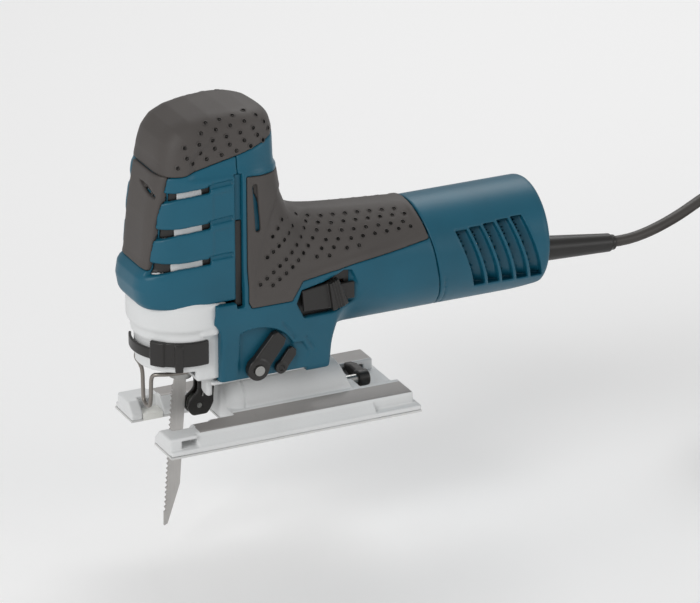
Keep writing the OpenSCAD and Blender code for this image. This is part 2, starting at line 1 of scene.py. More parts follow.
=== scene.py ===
"""Looks for a barrel-grip jigsaw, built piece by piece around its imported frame.

Lengths inside the shape functions are millimetres in the frame's axes: X to the rear, Z up,
-Y the side with the orbital lever. Meshes are scaled to metres when they are made.
"""

import json
import math

import bpy
import numpy as np
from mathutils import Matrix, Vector


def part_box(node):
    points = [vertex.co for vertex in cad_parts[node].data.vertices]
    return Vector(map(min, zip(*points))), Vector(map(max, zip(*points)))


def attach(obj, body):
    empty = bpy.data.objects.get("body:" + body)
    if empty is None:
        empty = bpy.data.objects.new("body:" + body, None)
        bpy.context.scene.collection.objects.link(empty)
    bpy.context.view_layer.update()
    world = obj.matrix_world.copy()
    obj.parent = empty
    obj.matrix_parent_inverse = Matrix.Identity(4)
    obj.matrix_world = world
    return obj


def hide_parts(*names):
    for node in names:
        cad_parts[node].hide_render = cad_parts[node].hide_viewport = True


bl_info = {
    "name": "Barrel-grip jigsaw",
    "version": (1, 0, 0),
    "blender": (4, 5, 0),
    "location": "3D View > Sidebar > Jigsaw",
    "description": "Shells, grips, levers, base, blade, cord and finishes of a barrel-grip jigsaw",
    "category": "Object",
}

MM = 0.001

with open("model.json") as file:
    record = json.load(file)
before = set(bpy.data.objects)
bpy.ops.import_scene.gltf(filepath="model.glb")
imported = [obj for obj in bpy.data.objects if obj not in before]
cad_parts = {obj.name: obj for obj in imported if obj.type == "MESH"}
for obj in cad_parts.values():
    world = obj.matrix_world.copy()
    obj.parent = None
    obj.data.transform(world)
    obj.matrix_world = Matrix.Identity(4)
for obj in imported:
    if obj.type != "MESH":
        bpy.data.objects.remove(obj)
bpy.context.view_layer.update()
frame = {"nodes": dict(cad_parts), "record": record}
nodes = frame["nodes"]


def low_high(node):
    """A frame node's box, in millimetres."""
    low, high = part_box(node)
    return np.array(low) / MM, np.array(high) / MM


# ---------------------------------------------------------------- places

MOTOR_Z = 84.0
BARREL_R = 33.0
BARREL_END = float(low_high("motor_barrel")[1][0])
NOSE_X = -55.0
ORBIT = (-21.0, 42.0)
LEVER_ANGLE = math.radians(52)
HOOD_EDGE_Z = 84.6
GROOVE_FLOOR_Y = 28.6
VAULT_Z = 12.4
BAND_Z = (49.2, 63.8)
BLOWER = (-6.0, 40.0)
ROLLER = (-45.0, 13.0)
FORK = (-38.0, 43.0)
LEAN = math.radians(4.2)
PLUNGER = (-55.2, 34.0)
RELIEF_START = (165.0, 0.0, 70.5)
RELIEF_DROOP = math.radians(5)
RELIEF_LEN = 60.0
CORD_D = 6.6
COIL_AT = (350.0, 8.0)
COIL_MID_R = 36.0
COIL_TURNS = 16
POINTS_PER_TURN = 18
PLUG_X = COIL_AT[0] + COIL_MID_R + 1.5 * CORD_D
PIN_SPACING = 12.7
CORD_ROUTE = (
    (205, 0, 67), (226, 0, 65), (240, 1.5, 65), (257, 5, 67), (277, 12, 70), (294, 20, 73),
    (306, 26.5, 73.5), (318, 33, 71), (329, 39, 64.5), (338, 44, 55.5), (345.5, 48, 45.5),
    (353, 50.8, 36.5), (361, 51.3, 29.5), (369, 49.4, 25),
)
GUARD_ROUTE = (
    (-46, -12, 38.6), (-58, -12, 39.0), (-67, -11.4, 39.2), (-72.6, -9.4, 39.4), (-75.2, -7.4, 38.8),
    (-75.7, -6.0, 36), (-75.7, -5.6, 30), (-75.9, -5.4, 22), (-76, -4.4, 18.8), (-76.1, -1.6, 17.6),
    (-76.1, 1.6, 17.6), (-76, 4.4, 18.8), (-75.9, 5.4, 22), (-75.9, 5.6, 30), (-75.9, 5.8, 36),
    (-76.6, 6, 39.6), (-78, 6, 42.6), (-79.6, 6, 45), (-80, 6, 47.6), (-78.4, 6, 50.6),
)


CAMERA_AT = (-1096.9, -2400.8, 1170.0)
CAMERA_WAY = (0.3984, 0.8323, -0.3854)
CAMERA_LENS = 257.1
FLOOR_Z = -0.078

# Each lamp's name, place and aim in metres, size and power.
LAMPS = (
    ("key", (-1.7, -0.9, 1.2), (0.0, 0.0, 0.08), 0.9, 17),
    ("rim", (0.9, 1.0, 1.4), (0.05, 0.0, 0.1), 0.9, 9),
    ("side", (1.6, -1.5, 0.7), (0.05, 0.0, 0.06), 0.7, 6),
)


# ---------------------------------------------------------------- distance fields

def soft_min(a, b, k):
    """The smaller of two distances, with a fillet of about k at their meeting."""
    h = np.maximum(k - np.abs(a - b), 0) / k
    return np.minimum(a, b) - h * h * k * 0.25


def soft_max(a, b, k):
    return -soft_min(-a, -b, k)


def join(k, first, *rest):
    for field in rest:
        first = soft_min(first, field, k)
    return first


def cut(body, tool, k=0.6):
    """body without tool, with a small rounded edge."""
    return soft_max(body, -tool, k)


def keep(body, limit, k=0.6):
    return soft_max(body, limit, k)


def block(x, y, z, low, high, r=0.0):
    """Distance to a box given by its corners, with edges rounded by r."""
    q = [np.abs(p - (a + b) / 2) - (b - a) / 2 + r for p, a, b in zip((x, y, z), low, high)]
    outside = np.sqrt(sum(np.maximum(v, 0) ** 2 for v in q))
    inside = np.minimum(np.maximum(np.maximum(q[0], q[1]), q[2]), 0)
    return outside + inside - r


def slab(p, low, high):
    return np.abs(p - (low + high) / 2) - (high - low) / 2


def rod(u, v, w, at, ends, radius, r=0.3):
    """A round rod along w, centred at (u, v) = at."""
    side = np.hypot(u - at[0], v - at[1]) - radius + r
    end = slab(w, *ends) + r
    return np.minimum(np.maximum(side, end), 0) + np.hypot(np.maximum(side, 0), np.maximum(end, 0)) - r


def capsule(u, v, a, b, radius):
    """Flat distance to a thick line from a to b."""
    du, dv = b[0] - a[0], b[1] - a[1]
    t = np.clip(((u - a[0]) * du + (v - a[1]) * dv) / (du * du + dv * dv), 0, 1)
    return np.hypot(u - a[0] - t * du, v - a[1] - t * dv) - radius


def outline(u, v, points, r=0.0):
    """Flat distance to a closed polygon, its corners rounded by r where r is left over."""
    best, inside = None, None
    for (au, av), (bu, bv) in zip(points, points[1:] + points[:1]):
        du, dv = bu - au, bv - av
        pu, pv = u - au, v - av
        t = np.clip((pu * du + pv * dv) / (du * du + dv * dv), 0, 1)
        d = (pu - t * du) ** 2 + (pv - t * dv) ** 2
        crosses = ((av <= v) & (bv > v)) | ((av > v) & (bv <= v))
        side = (pu * dv - pv * du) * np.sign(dv) < 0
        hit = crosses & side
        best = d if best is None else np.minimum(best, d)
        inside = hit if inside is None else inside ^ hit
    return np.where(inside, -1.0, 1.0) * np.sqrt(best) - r


# ---------------------------------------------------------------- meshes from fields

CORNERS = np.array([(i, j, k) for i in (0, 1) for j in (0, 1) for k in (0, 1)])
CELL_EDGES = [(a, b) for a in range(8) for b in range(a + 1, 8) if np.abs(CORNERS[a] - CORNERS[b]).sum() == 1]


def gradient(field, p, h=0.05):
    """Unit direction in which the field grows, and its slope, at points p."""
    g = np.stack([
        (field(*(p + h * e).T) - field(*(p - h * e).T)) / (2 * h) for e in np.eye(3)
    ], -1)
    slope = np.maximum(np.linalg.norm(g, axis=1, keepdims=True), 0.2)
    return g / slope, slope


def surface_of(field, low, high, step):
    """Vertices (mm) and quads of the surface where the field is zero."""
    low = np.array(low, float)
    counts = np.ceil((np.array(high) - low) / step).astype(int) + 1
    axes = [low[i] + step * np.arange(counts[i]) for i in range(3)]
    f = np.broadcast_to(field(axes[0][:, None, None], axes[1][None, :, None], axes[2][None, None, :]), counts)
    f = f.astype(np.float32)
    for axis in range(3):
        index = [slice(None)] * 3
        for end in (0, -1):
            index[axis] = end
            f[tuple(index)] = np.maximum(f[tuple(index)], 0.01)
    inside = f < 0
    total = sum(inside[i:counts[0] - 1 + i, j:counts[1] - 1 + j, k:counts[2] - 1 + k].astype(np.int8)
                for i, j, k in CORNERS)
    cells = np.argwhere((total > 0) & (total < 8))
    corner = np.stack([f[tuple((cells + c).T)] for c in CORNERS], 1)
    point = np.zeros((len(cells), 3))
    hits = np.zeros(len(cells))
    for a, b in CELL_EDGES:
        fa, fb = corner[:, a], corner[:, b]
        cross = (fa < 0) != (fb < 0)
        t = np.where(cross, fa / np.where(cross, fa - fb, 1), 0)[:, None]
        point += np.where(cross[:, None], CORNERS[a] + t * (CORNERS[b] - CORNERS[a]), 0)
        hits += cross
    verts = low + (cells + point / hits[:, None]) * step
    number = np.full(counts - 1, -1, np.int64)
    number[tuple(cells.T)] = np.arange(len(cells))
    quads = []
    for axis in range(3):
        b, c = (axis + 1) % 3, (axis + 2) % 3
        ahead = np.roll(inside, -1, axis)
        changes = inside != ahead
        index = [slice(1, -1)] * 3
        index[axis] = slice(0, -1)
        mask = np.zeros_like(changes)
        mask[tuple(index)] = changes[tuple(index)]
        p = np.argwhere(mask)
        eb, ec = np.eye(3, dtype=int)[b], np.eye(3, dtype=int)[c]
        ring = [number[tuple((p - s).T)] for s in (eb + ec, ec, 0 * ec, eb)]
        quad = np.stack(ring, 1)
        leaving = inside[tuple(p.T)]
        quads.append(np.where(leaving[:, None], quad, quad[:, ::-1]))
    quads = np.concatenate(quads)
    quads = quads[(quads >= 0).all(1)]
    for _ in range(3):
        way, slope = gradient(field, verts)
        move = np.clip(field(*verts.T)[:, None] / slope, -0.5 * step, 0.5 * step)
        verts = verts - way * move
    return verts, quads


def new_piece(name, verts, faces, smooth=True):
    """A mesh object from millimetre vertices, at the origin."""
    mesh = bpy.data.meshes.new(name)
    mesh.from_pydata((np.asarray(verts) * MM).tolist(), [], [tuple(int(i) for i in f) for f in faces])
    mesh.validate()
    mesh.shade_smooth() if smooth else mesh.shade_flat()
    piece = bpy.data.objects.new(name, mesh)
    bpy.context.scene.collection.objects.link(piece)
    return piece


def carve(name, field, low, high, step, material, body, stands_for=()):
    """A finished piece from a distance field, riding on its body."""
    verts, quads = surface_of(field, low, high, step)
    piece = new_piece(name, verts, quads)
    return dress(piece, material, body, stands_for)


def dress(piece, material, body, stands_for=()):
    piece.data.materials.clear()
    piece.data.materials.append(material)
    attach(piece, body)
    if stands_for:
        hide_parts(*stands_for)
    return piece


# ---------------------------------------------------------------- finishes

def linear(rgb):
    return tuple(c / 12.92 if c <= 0.04045 else ((c + 0.055) / 1.055) ** 2.4 for c in rgb) + (1.0,)


def group_socket(tree, name, kind, default=None, out=False):
    socket = tree.interface.new_socket(name=name, in_out="OUTPUT" if out else "INPUT", socket_type=kind)
    if default is not None:
        socket.default_value = default
    return socket


def surface_group():
    """Shader group: slow tone drift, fine moulded or cast grain, and a roughness that follows the grain."""
    tree = bpy.data.node_groups.get("moulded surface")
    if tree:
        return tree
    tree = bpy.data.node_groups.new("moulded surface", "ShaderNodeTree")
    group_socket(tree, "Vector", "NodeSocketVector")
    group_socket(tree, "Deep", "NodeSocketColor", (0.1, 0.1, 0.1, 1))
    group_socket(tree, "Light", "NodeSocketColor", (0.2, 0.2, 0.2, 1))
    group_socket(tree, "Drift scale", "NodeSocketFloat", 30.0)
    group_socket(tree, "Grain scale", "NodeSocketFloat", 2000.0)
    group_socket(tree, "Rough low", "NodeSocketFloat", 0.4)
    group_socket(tree, "Rough high", "NodeSocketFloat", 0.5)
    group_socket(tree, "Color", "NodeSocketColor", out=True)
    group_socket(tree, "Roughness", "NodeSocketFloat", out=True)
    group_socket(tree, "Height", "NodeSocketFloat", out=True)
    n, link = tree.nodes, tree.links.new
    enter, leave = n.new("NodeGroupInput"), n.new("NodeGroupOutput")
    drift, grain, speck = n.new("ShaderNodeTexNoise"), n.new("ShaderNodeTexNoise"), n.new("ShaderNodeTexVoronoi")
    drift.inputs["Detail"].default_value = 4
    grain.inputs["Detail"].default_value = 3
    grain.inputs["Roughness"].default_value = 0.6
    for texture, scale in ((drift, "Drift scale"), (grain, "Grain scale"), (speck, "Grain scale")):
        link(enter.outputs["Vector"], texture.inputs["Vector"])
        link(enter.outputs[scale], texture.inputs["Scale"])
    tone = n.new("ShaderNodeMath")
    tone.operation = "MULTIPLY_ADD"
    tone.inputs[1].default_value = 0.35
    link(grain.outputs["Fac"], tone.inputs[0])
    link(drift.outputs["Fac"], tone.inputs[2])
    spread = n.new("ShaderNodeMapRange")
    spread.inputs["From Min"].default_value = 0.45
    spread.inputs["From Max"].default_value = 0.9
    link(tone.outputs[0], spread.inputs["Value"])
    mix = n.new("ShaderNodeMix")
    mix.data_type = "RGBA"
    link(spread.outputs["Result"], mix.inputs["Factor"])
    link(enter.outputs["Deep"], mix.inputs["A"])
    link(enter.outputs["Light"], mix.inputs["B"])
    link(mix.outputs["Result"], leave.inputs["Color"])
    rough = n.new("ShaderNodeMapRange")
    link(grain.outputs["Fac"], rough.inputs["Value"])
    rough.inputs["From Min"].default_value = 0.3
    rough.inputs["From Max"].default_value = 0.7
    link(enter.outputs["Rough low"], rough.inputs["To Min"])
    link(enter.outputs["Rough high"], rough.inputs["To Max"])
    link(rough.outputs["Result"], leave.inputs["Roughness"])
    height = n.new("ShaderNodeMath")
    height.operation = "MULTIPLY_ADD"
    height.inputs[1].default_value = 0.5
    link(speck.outputs["Distance"], height.inputs[0])
    link(grain.outputs["Fac"], height.inputs[2])
    link(height.outputs[0], leave.inputs["Height"])
    return tree


def finish_of(name, colour, light=None, rough=(0.4, 0.5), metallic=0.0, drift=25.0, grain=1800.0,
              bump=0.25, bump_depth=0.00004, stretch=(1, 1, 1), coat=0.0, specular=0.5):
    """A material for this tool. stretch lengthens the grain along an axis where it is below one."""
    material = bpy.data.materials.get(name)
    if material:
        return material
    material = bpy.data.materials.new(name)
    material.use_nodes = True
    tree = material.node_tree
    n, link = tree.nodes, tree.links.new
    shader = n["Principled BSDF"]
    shader.inputs["Metallic"].default_value = metallic
    shader.inputs["Coat Weight"].default_value = coat
    shader.inputs["Coat Roughness"].default_value = 0.25
    shader.inputs["Specular IOR Level"].default_value = specular
    place, turn = n.new("ShaderNodeTexCoord"), n.new("ShaderNodeMapping")
    turn.inputs["Scale"].default_value = stretch
    look, relief = n.new("ShaderNodeGroup"), n.new("ShaderNodeBump")
    look.node_tree = surface_group()
    deep = linear(colour)
    look.inputs["Deep"].default_value = deep
    look.inputs["Light"].default_value = linear(light) if light else tuple(min(1, c * 1.25) for c in deep[:3]) + (1,)
    look.inputs["Drift scale"].default_value = drift
    look.inputs["Grain scale"].default_value = grain
    look.inputs["Rough low"].default_value = rough[0]
    look.inputs["Rough high"].default_value = rough[1]
    relief.inputs["Strength"].default_value = bump
    relief.inputs["Distance"].default_value = bump_depth
    link(place.outputs["Object"], turn.inputs["Vector"])
    link(turn.outputs["Vector"], look.inputs["Vector"])
    link(look.outputs["Color"], shader.inputs["Base Color"])
    link(look.outputs["Roughness"], shader.inputs["Roughness"])
    link(look.outputs["Height"], relief.inputs["Height"])
    link(relief.outputs["Normal"], shader.inputs["Normal"])
    return material


def blue_shell():
    c = tuple(bpy.context.scene.jigsaw_finish.shell_colour)
    return finish_of("blue shell", c, rough=(0.36, 0.46), grain=2600, bump=0.2, bump_depth=0.00003, specular=0.38)


def soft_grip():
    c = tuple(bpy.context.scene.jigsaw_finish.grip_colour)
    return finish_of("soft grip", c, rough=(0.52, 0.66), grain=3000, bump=0.35, bump_depth=0.00004)


def black_plastic():
    c = tuple(bpy.context.scene.jigsaw_finish.black_colour)
    return finish_of("black plastic", c, rough=(0.34, 0.46), grain=2200, bump=0.25, bump_depth=0.00003)


# Darker colour for the inside of the grips' dimples: painted shade in the pores.
def pore_painted_shade():
    return finish_of("pore painted shade", (0.10, 0.095, 0.09), rough=(0.6, 0.7))


def cast_paint():
    c = tuple(bpy.context.scene.jigsaw_finish.metal_colour)
    return finish_of("cast and painted metal", c, light=tuple(min(1, v * 1.03) for v in c), rough=(0.38, 0.5),
                     grain=900, bump=0.25, bump_depth=0.00006)


# Darker grey for the deck's upward faces: a machined face, and painted shade of faces turned up.
def deck_top_machined_shaded():
    return finish_of("deck top machined and shaded", (0.60, 0.585, 0.575), light=(0.65, 0.635, 0.625), rough=(0.34, 0.46),
                     metallic=0.25, grain=1300, stretch=(0.05, 1, 1), bump=0.2)


def sole_steel():
    return finish_of("sole steel", (0.80, 0.80, 0.795), light=(0.86, 0.86, 0.855), rough=(0.36, 0.5), metallic=0.3,
                     grain=1200, stretch=(0.1, 1, 1), bump=0.2)


def satin_steel():
    return finish_of("satin steel", (0.60, 0.60, 0.59), rough=(0.26, 0.38), metallic=1.0, grain=1500,
                     stretch=(0.08, 1, 1), bump=0.12)


def wire_steel():
    return finish_of("wire steel", (0.52, 0.50, 0.48), rough=(0.3, 0.42), metallic=0.9, grain=2500)


def blade_steel():
    return finish_of("blade steel", (0.70, 0.69, 0.68), light=(0.80, 0.79, 0.78), rough=(0.30, 0.44), metallic=0.75,
                     grain=1400, stretch=(1, 1, 0.06), bump=0.2)


def cord_jacket():
    return finish_of("cord jacket", (0.215, 0.200, 0.188), rough=(0.42, 0.54), grain=2200, bump=0.3)


# ---------------------------------------------------------------- sizes and colours

class JigsawFinish(bpy.types.PropertyGroup):
    shell_colour: bpy.props.FloatVectorProperty(
        name="Shell colour", description="Colour of the hard plastic shells", subtype="COLOR",
        default=(0.055, 0.315, 0.395), min=0, max=1)
    grip_colour: bpy.props.FloatVectorProperty(
        name="Grip colour", description="Colour of the soft grips", subtype="COLOR",
        default=(0.265, 0.248, 0.238), min=0, max=1)
    black_colour: bpy.props.FloatVectorProperty(
        name="Lever colour", description="Colour of levers and slider", subtype="COLOR",
        default=(0.110, 0.102, 0.096), min=0, max=1)
    metal_colour: bpy.props.FloatVectorProperty(
        name="Casting colour", description="Colour of the nose and the base", subtype="COLOR",
        default=(0.845, 0.85, 0.85), min=0, max=1)


class JigsawSizes(bpy.types.PropertyGroup):
    shell_wall: bpy.props.FloatProperty(
        name="Shell wall", description="Thickness of the plastic shells", unit="LENGTH", default=0.0026, min=0.002)
    pore_radius: bpy.props.FloatProperty(
        name="Pore radius", description="Radius of the dimples in the soft grips", unit="LENGTH",
        default=0.0012, min=0.0008, max=0.0016)
    pore_depth: bpy.props.FloatProperty(
        name="Pore depth", description="Depth of the dimples in the soft grips", unit="LENGTH",
        default=0.0011, min=0.0005, max=0.0015)
    mesh_step: bpy.props.FloatProperty(
        name="Mesh step", description="Size of the faces on the large forms", unit="LENGTH",
        default=0.0011, min=0.0006, max=0.003)


def sizes():
    return bpy.context.scene.jigsaw_sizes


# ---------------------------------------------------------------- forms of the body

FRONT_LINE = ((70, 84), (84, 84.5), (88, 86.8), (96, 88.2), (103, 87), (108, 83.8), (112, 83), (138, 80.6),
              (157, 77.6), (170, 75.5))
GRIP_EDGE = [(-26.6, 170), (95, 170), (95, 102), (88, 101), (63.7, 97.8), (40.4, 95.2), (25, 93.8), (7.2, 91.2),
             (4.2, 86.2), (0.4, 80.2), (-24.6, 80.2), (-26.6, 84)]
PORE_FIELD = [(-4.6, 146), (-12.7, 134.7), (-17.7, 120.5), (-21.5, 107.8), (-24.1, 91.3), (-23.4, 83.4), (-1.2, 83.2),
              (1.6, 88), (5, 94.2), (25, 97), (40.4, 98.4), (63.7, 101), (84, 104), (84, 150)]
SWITCH_WINDOW = [(3.4, 78), (6.4, 85.6), (20, 88.4), (33, 93.2), (38.4, 92), (44.2, 79), (42, 73.8), (26, 68.8),
                 (8, 68.4)]
LEVER_PANEL = [(-4, 53.4), (7.7, 53.4), (12.4, 45.6), (9, 38.5), (-8, 38.5)]
SURFACE_LINES = (((-5.3, 68.1), (2.7, 56.8)), ((9.8, 56.2), (15.6, 47)))
SLOT_PLANES = ((151.6, 0.12), (130.4, 0.11), (109.9, 0.07))
GROOVE = (-33.8, -29.0)
GROOVE_Z = (81.5, 133.5, 161.5)
NECK_LIFT = ((-10, 15, 30, 76, 92), (5.5, 5.2, 4.1, 1.6, 0.3))


def seam_x(z):
    """Where the body meets the barrel: the joint leans back downwards."""
    return 93 - 0.18 * (z - MOTOR_Z)


def cap_edge(x):
    """Height of the soft cap's lower edge."""
    rise = np.maximum(x + 66, 0)
    return 163.4 + 0.29 * rise * rise / (rise + 6)


def front_x(z):
    heights, reach = zip(*FRONT_LINE)
    return -np.interp(z, heights, reach)


def join_max(k, first, *rest):
    for field in rest:
        first = soft_max(first, field, k)
    return first


def head_form(x, y, z):
    """The upright head: a rounded plan whose front leans and bulges with the height."""
    u = np.where(x < -31, -31 + (x + 31) * 52 / (-31 - front_x(z)), x)
    w = np.abs(y)
    back_at = np.interp(z, (100, 122, 130, 140, 148, 157, 165), (16.4, 11.5, 7.0, 3.0, 1.0, -0.4, -0.6))
    return join_max(
        9.0, -83 - u, -0.62 * u + 0.785 * w - 67.8, -0.17 * u + 0.985 * w - 38.9, w - 33.5,
        0.66 * (u - back_at) + 0.75 * w - 14.3, u - back_at)


def keel_form(x, y, z):
    """The lower body behind the nose, narrowing to the base."""
    w = np.abs(y)
    width = np.interp(z, (30, 36, 50, 66, 84), (25.8, 28.4, 30.8, 32.5, 33.0))
    return join_max(3.0, w - width, -42.6 - x, x - 26.8, z - 92)


def tube_form(x, y, z):
    return np.hypot(y, z - MOTOR_Z) - BARREL_R


def body_form(x, y, z):
    """Head, keel and motor tube as one flowing form."""
    lift = np.interp(x, *NECK_LIFT) * np.clip((z - MOTOR_Z) / BARREL_R, 0, 1.2) ** 2
    tube = keep(keep(tube_form(x, y, z) - lift, x - 120, 0.6), -14 - x, 4)
    head = keep(keep(head_form(x, y, z), z - 190, 1), 76 - z, 4)
    return soft_max(soft_min(soft_min(head, tube, 10.0), keel_form(x, y, z), 15.0), np.abs(y) - 33.4, 3.0)


def grip_gap(x, y, z):
    """Flat distance to the edge of the soft sleeve, seen from the side."""
    return join_max(1.0, outline(x, z, GRIP_EDGE), z - 159.6 + 0.1 * (x + 27), x - seam_x(z) + 0.7)


def shell_form(x, y, z):
    """The hard shell behind the head's groove."""
    f = body_form(x, y, z)
    w = np.abs(y)
    f = under_crown(f, x, y, z)
    f = keep(f, z - cap_edge(x), 0.8)
    f = keep(f, x - seam_x(z) + 0.2, 0.8)
    f = keep(f, np.where(x < 11.7, 35.6, 32.9) - z, 1.0)
    f = cut(f, np.maximum(x + 31.4, HOOD_EDGE_Z - z), 0.8)
    f = cut(f, join_max(0.5, slab(x, *GROOVE), slab(z, GROOVE_Z[0], GROOVE_Z[2]), GROOVE_FLOOR_Y - w), 0.6)
    f = cut(f, np.hypot(y, z) - 27.4, 0.6)
    f = cut(f, join_max(0.8, grip_gap(x, y, z) - 0.1, -body_form(x, y, z) - 2.3), 0.5)
    recess = np.hypot(x - ORBIT[0], z - ORBIT[1]) - 25.4
    recess = soft_min(recess, np.maximum(slab(x, -31.5, 4.5), z - 42), 1.0)
    recess = keep(recess, -31.6 - x, 1.0)
    f = cut(f, join_max(1.0, recess, y + 28.6), 0.7)
    f = cut(f, join_max(0.8, outline(x, z, LEVER_PANEL), y + 29.3), 0.6)
    for a, b in SURFACE_LINES:
        f = cut(f, join_max(0.3, capsule(x, z, a, b, 0.8), y, -body_form(x, y, z) - 0.7), 0.5)
    floor = 27.9 + np.clip((x - 36) * 0.55, 0, 5)
    f = cut(f, join_max(0.8, outline(x, z, SWITCH_WINDOW), floor - w), 1.2)
    return f


# Black strip on the floor of the groove's deep lower part: painted shade for the dark inside of the groove.
def groove_painted_shade_form(x, y, z):
    w = np.abs(y)
    return join_max(0.4, slab(x, -33.6, -29.2), slab(z, 82, GROOVE_Z[1]), slab(w, 28.0, 29.4))


def cover_form(x, y, z):
    """Ribbed cover over the gears, cut by three slots on each side."""
    w = np.abs(y)
    f = head_form(x, y, z)
    waves = sum(np.exp(-((z - base - tilt * (x + 70) - 0.5) / 2.6) ** 2) for base, tilt in SLOT_PLANES)
    f = f + 0.8 * waves * np.clip((-46 - x) / 6, 0, 1)
    f = under_crown(f, x, y, z)
    f = keep(f, z - cap_edge(x) + 0.2, 0.8)
    f = keep(f, HOOD_EDGE_Z + 0.05 * np.maximum(x + 70, 0) - z, 1.6)
    f = keep(f, x + 31.6, 0.8)
    f = cut(f, join_max(0.4, GROOVE[0] - x, z - GROOVE_Z[2], GROOVE_FLOOR_Y - w), 0.6)
    f = cut(f, join_max(0.6, strip_gap(y, z) - 0.2, x + 60, 107.4 - z, -head_form(x, y, z) - 2.2), 0.5)
    for base, tilt in SLOT_PLANES:
        height = z - base - tilt * (x + 70)
        tall = 1.9 + 0.13 * np.maximum(-66 - x, 0)
        through = join_max(0.8, np.abs(height) - tall, x + 47.6, 17 - w, strip_gap(y, z, -1))
        step_in = join_max(0.4, slab(height, 0.4, 3.4), slab(x, -49, -34.6), -head_form(x, y, z) - 1.5, 10 - w)
        f = cut(f, through, 0.6)
        f = cut(f, step_in, 0.5)
        tab = join_max(0.4, slab(height, 3.4, 18.5), slab(x, -46.2, -35.2), -head_form(x, y, z) - 0.5, 10 - w)
        f = cut(f, tab, 0.4)
    return f


def web_form(x, y, z):
    """Floor of the upper, shallow end of the groove."""
    return join_max(0.4, slab(x, -33.6, -29.2), slab(z, GROOVE_Z[1] + 0.3, GROOVE_Z[2] - 0.2),
                    slab(np.abs(y), 27.4, 29.2))


def slot_painted_shade_form(x, y, z):
    """Dark plates behind the ends of the cover's slots: painted shade in the slot ends."""
    w = np.abs(y)
    plates = [join_max(0.3, np.abs(z - base - tilt * (x + 70)) - 3.4, slab(x, *ends), 15 - w)
              for base, tilt in SLOT_PLANES for ends in ((-80, -65.5 - 0.1 * (151 - base)), (-52, -45.5))]
    return join_max(0.3, slab(head_form(x, y, z), -4.6, -3.3), join(0.1, *plates))


def strip_gap(y, z, sign=1):
    """Flat distance to the edges of the front strip; it wraps further round the lever's side."""
    near, far = 17.8 + 0.083 * (z - 108.5), 13.4 + 0.05 * (157 - z)
    return sign * np.maximum(-y - near, y - far)


def strip_form(x, y, z):
    """Soft strip down the front of the head."""
    head = head_form(x, y, z)
    f = join_max(0.8, head - 0.2, strip_gap(y, z), x + 60, 107.8 - z, z - cap_edge(x) - 0.2)
    slit = outline(y, z, [(0.5, 155.6), (-11, 155.6), (-18.6, 151.6), (-17.6, 150.4), (-9, 152.2)], 0.3)
    return cut(f, join_max(0.5, slit, -head - 1.8), 0.4)


CAP_PROFILE = [(-79.5, 150), (-78.6, 161), (-75.8, 173), (-71.4, 182.6), (-65, 189.2), (-56, 192.8), (-44, 194.7),
               (-31, 195.1), (-19, 194.6), (-10, 192.8), (-3.6, 189.4), (0.4, 184), (2.0, 178), (1.4, 170),
               (1.0, 160), (1.0, 60), (-79.5, 60)]
CAP_DISH = [(-62, 140), (-63, 166), (-60.5, 175.5), (-54, 182), (-44, 186), (-28, 188.6), (-8, 189.6), (30, 190),
            (30, 140)]


def crown_form(x, y, z):
    """The head's top: a domed profile over its plan."""
    profile = outline(x, z, CAP_PROFILE)
    lean = np.clip((z - 160) / 34, 0, 1.3)
    f = soft_max(profile, head_form(x, np.abs(y) + 8.0 * lean ** 2.2, z), 9.0)
    depth = np.clip(-outline(x, z, CAP_DISH) / 8.0, 0, 1)
    level = 1 - np.clip((x + 44) / 34, 0, 1) * 0.7
    side = np.clip((np.abs(y) - 8) / 10, 0, 1) * np.clip((z - 156) / 10, 0, 1)
    return f + 3.0 * level * depth * depth * (3 - 2 * depth) * side


def under_crown(f, x, y, z):
    """A head form brought down to the crown's surface near the cap, and left alone lower down."""
    slack = np.clip((162 - z) * 0.5, 0, 8) + 200 * (z < 146)
    return soft_max(f, crown_form(x, y, z) - slack, 0.6)


def cap_form(x, y, z):
    """Soft cap, with a ridge round a sunk panel on each side."""
    return keep(crown_form(x, y, z) - 0.15, cap_edge(x) + 0.2 - z, 0.6)


def sleeve_form(x, y, z):
    """Soft sleeve round the neck and over the motor's front."""
    body = body_form(x, y, z)
    gap = grip_gap(x, y, z)
    sunk = np.clip(-outline(x, z, PORE_FIELD) / 2.0, 0, 1) * np.clip((np.abs(y) - 6) / 8, 0, 1)
    f = join_max(0.9, body - 0.25 + 0.8 * sunk, gap + 0.15, -body - 2.1)
    pocket = join_max(0.5, capsule(x, z, (-21.6, 152.8), (-20.0, 127.0), 1.6), -body - 1.7, 8 - np.abs(y))
    f = cut(f, pocket, 0.7)
    return cut(f, join_max(0.8, outline(x, z, SWITCH_WINDOW) - 1.2, 20 - np.abs(y)), 1.0)


def chin_gap(x, y, z):
    """Slanted cut under the barrel's rear end."""
    a = math.radians(20)
    return (x - BARREL_END + 16) * math.sin(a) - (z - MOTOR_Z + BARREL_R) * math.cos(a)


def barrel_form(x, y, z):
    f = soft_max(tube_form(x, y, z), x - BARREL_END, 4.0)
    f = keep(f, chin_gap(x, y, z), 5.0)
    f = keep(f, seam_x(z) + 0.2 - x, 1.0)
    return f


def barrel_with_vents(x, y, z):
    w = np.abs(y)
    f = barrel_form(x, y, z)
    for k in range(5):
        u = x - (106.4 + 9.2 * k) + 0.34 * (z - 102)
        radius = np.hypot(y, z - MOTOR_Z)
        floor = 26.8 + np.clip(u - 1.0, 0, 8) * 0.34
        slot = join_max(0.5, slab(u, 0, 7.3), slab(z, 67 - 0.3 * k, 102.2 + 0.6 * k), floor - radius, 12 - w)
        f = cut(f, slot, 0.7)
    f = cut(f, block(x, y, z, (150, -4.8, 93), (180, 4.8, 115), 1.0), 0.6)
    f = cut(f, rod(y, z, x, (0, 70.2), (140, 180), 7.9, 0.1), 0.6)
    rib = join_max(0.3, np.abs(x - seam_x(z) - 3.4) - 0.35, z - 78, -tube_form(x, y, z) - 0.6)
    return cut(f, rib, 0.4)


# ---------------------------------------------------------------- nose, base and small parts

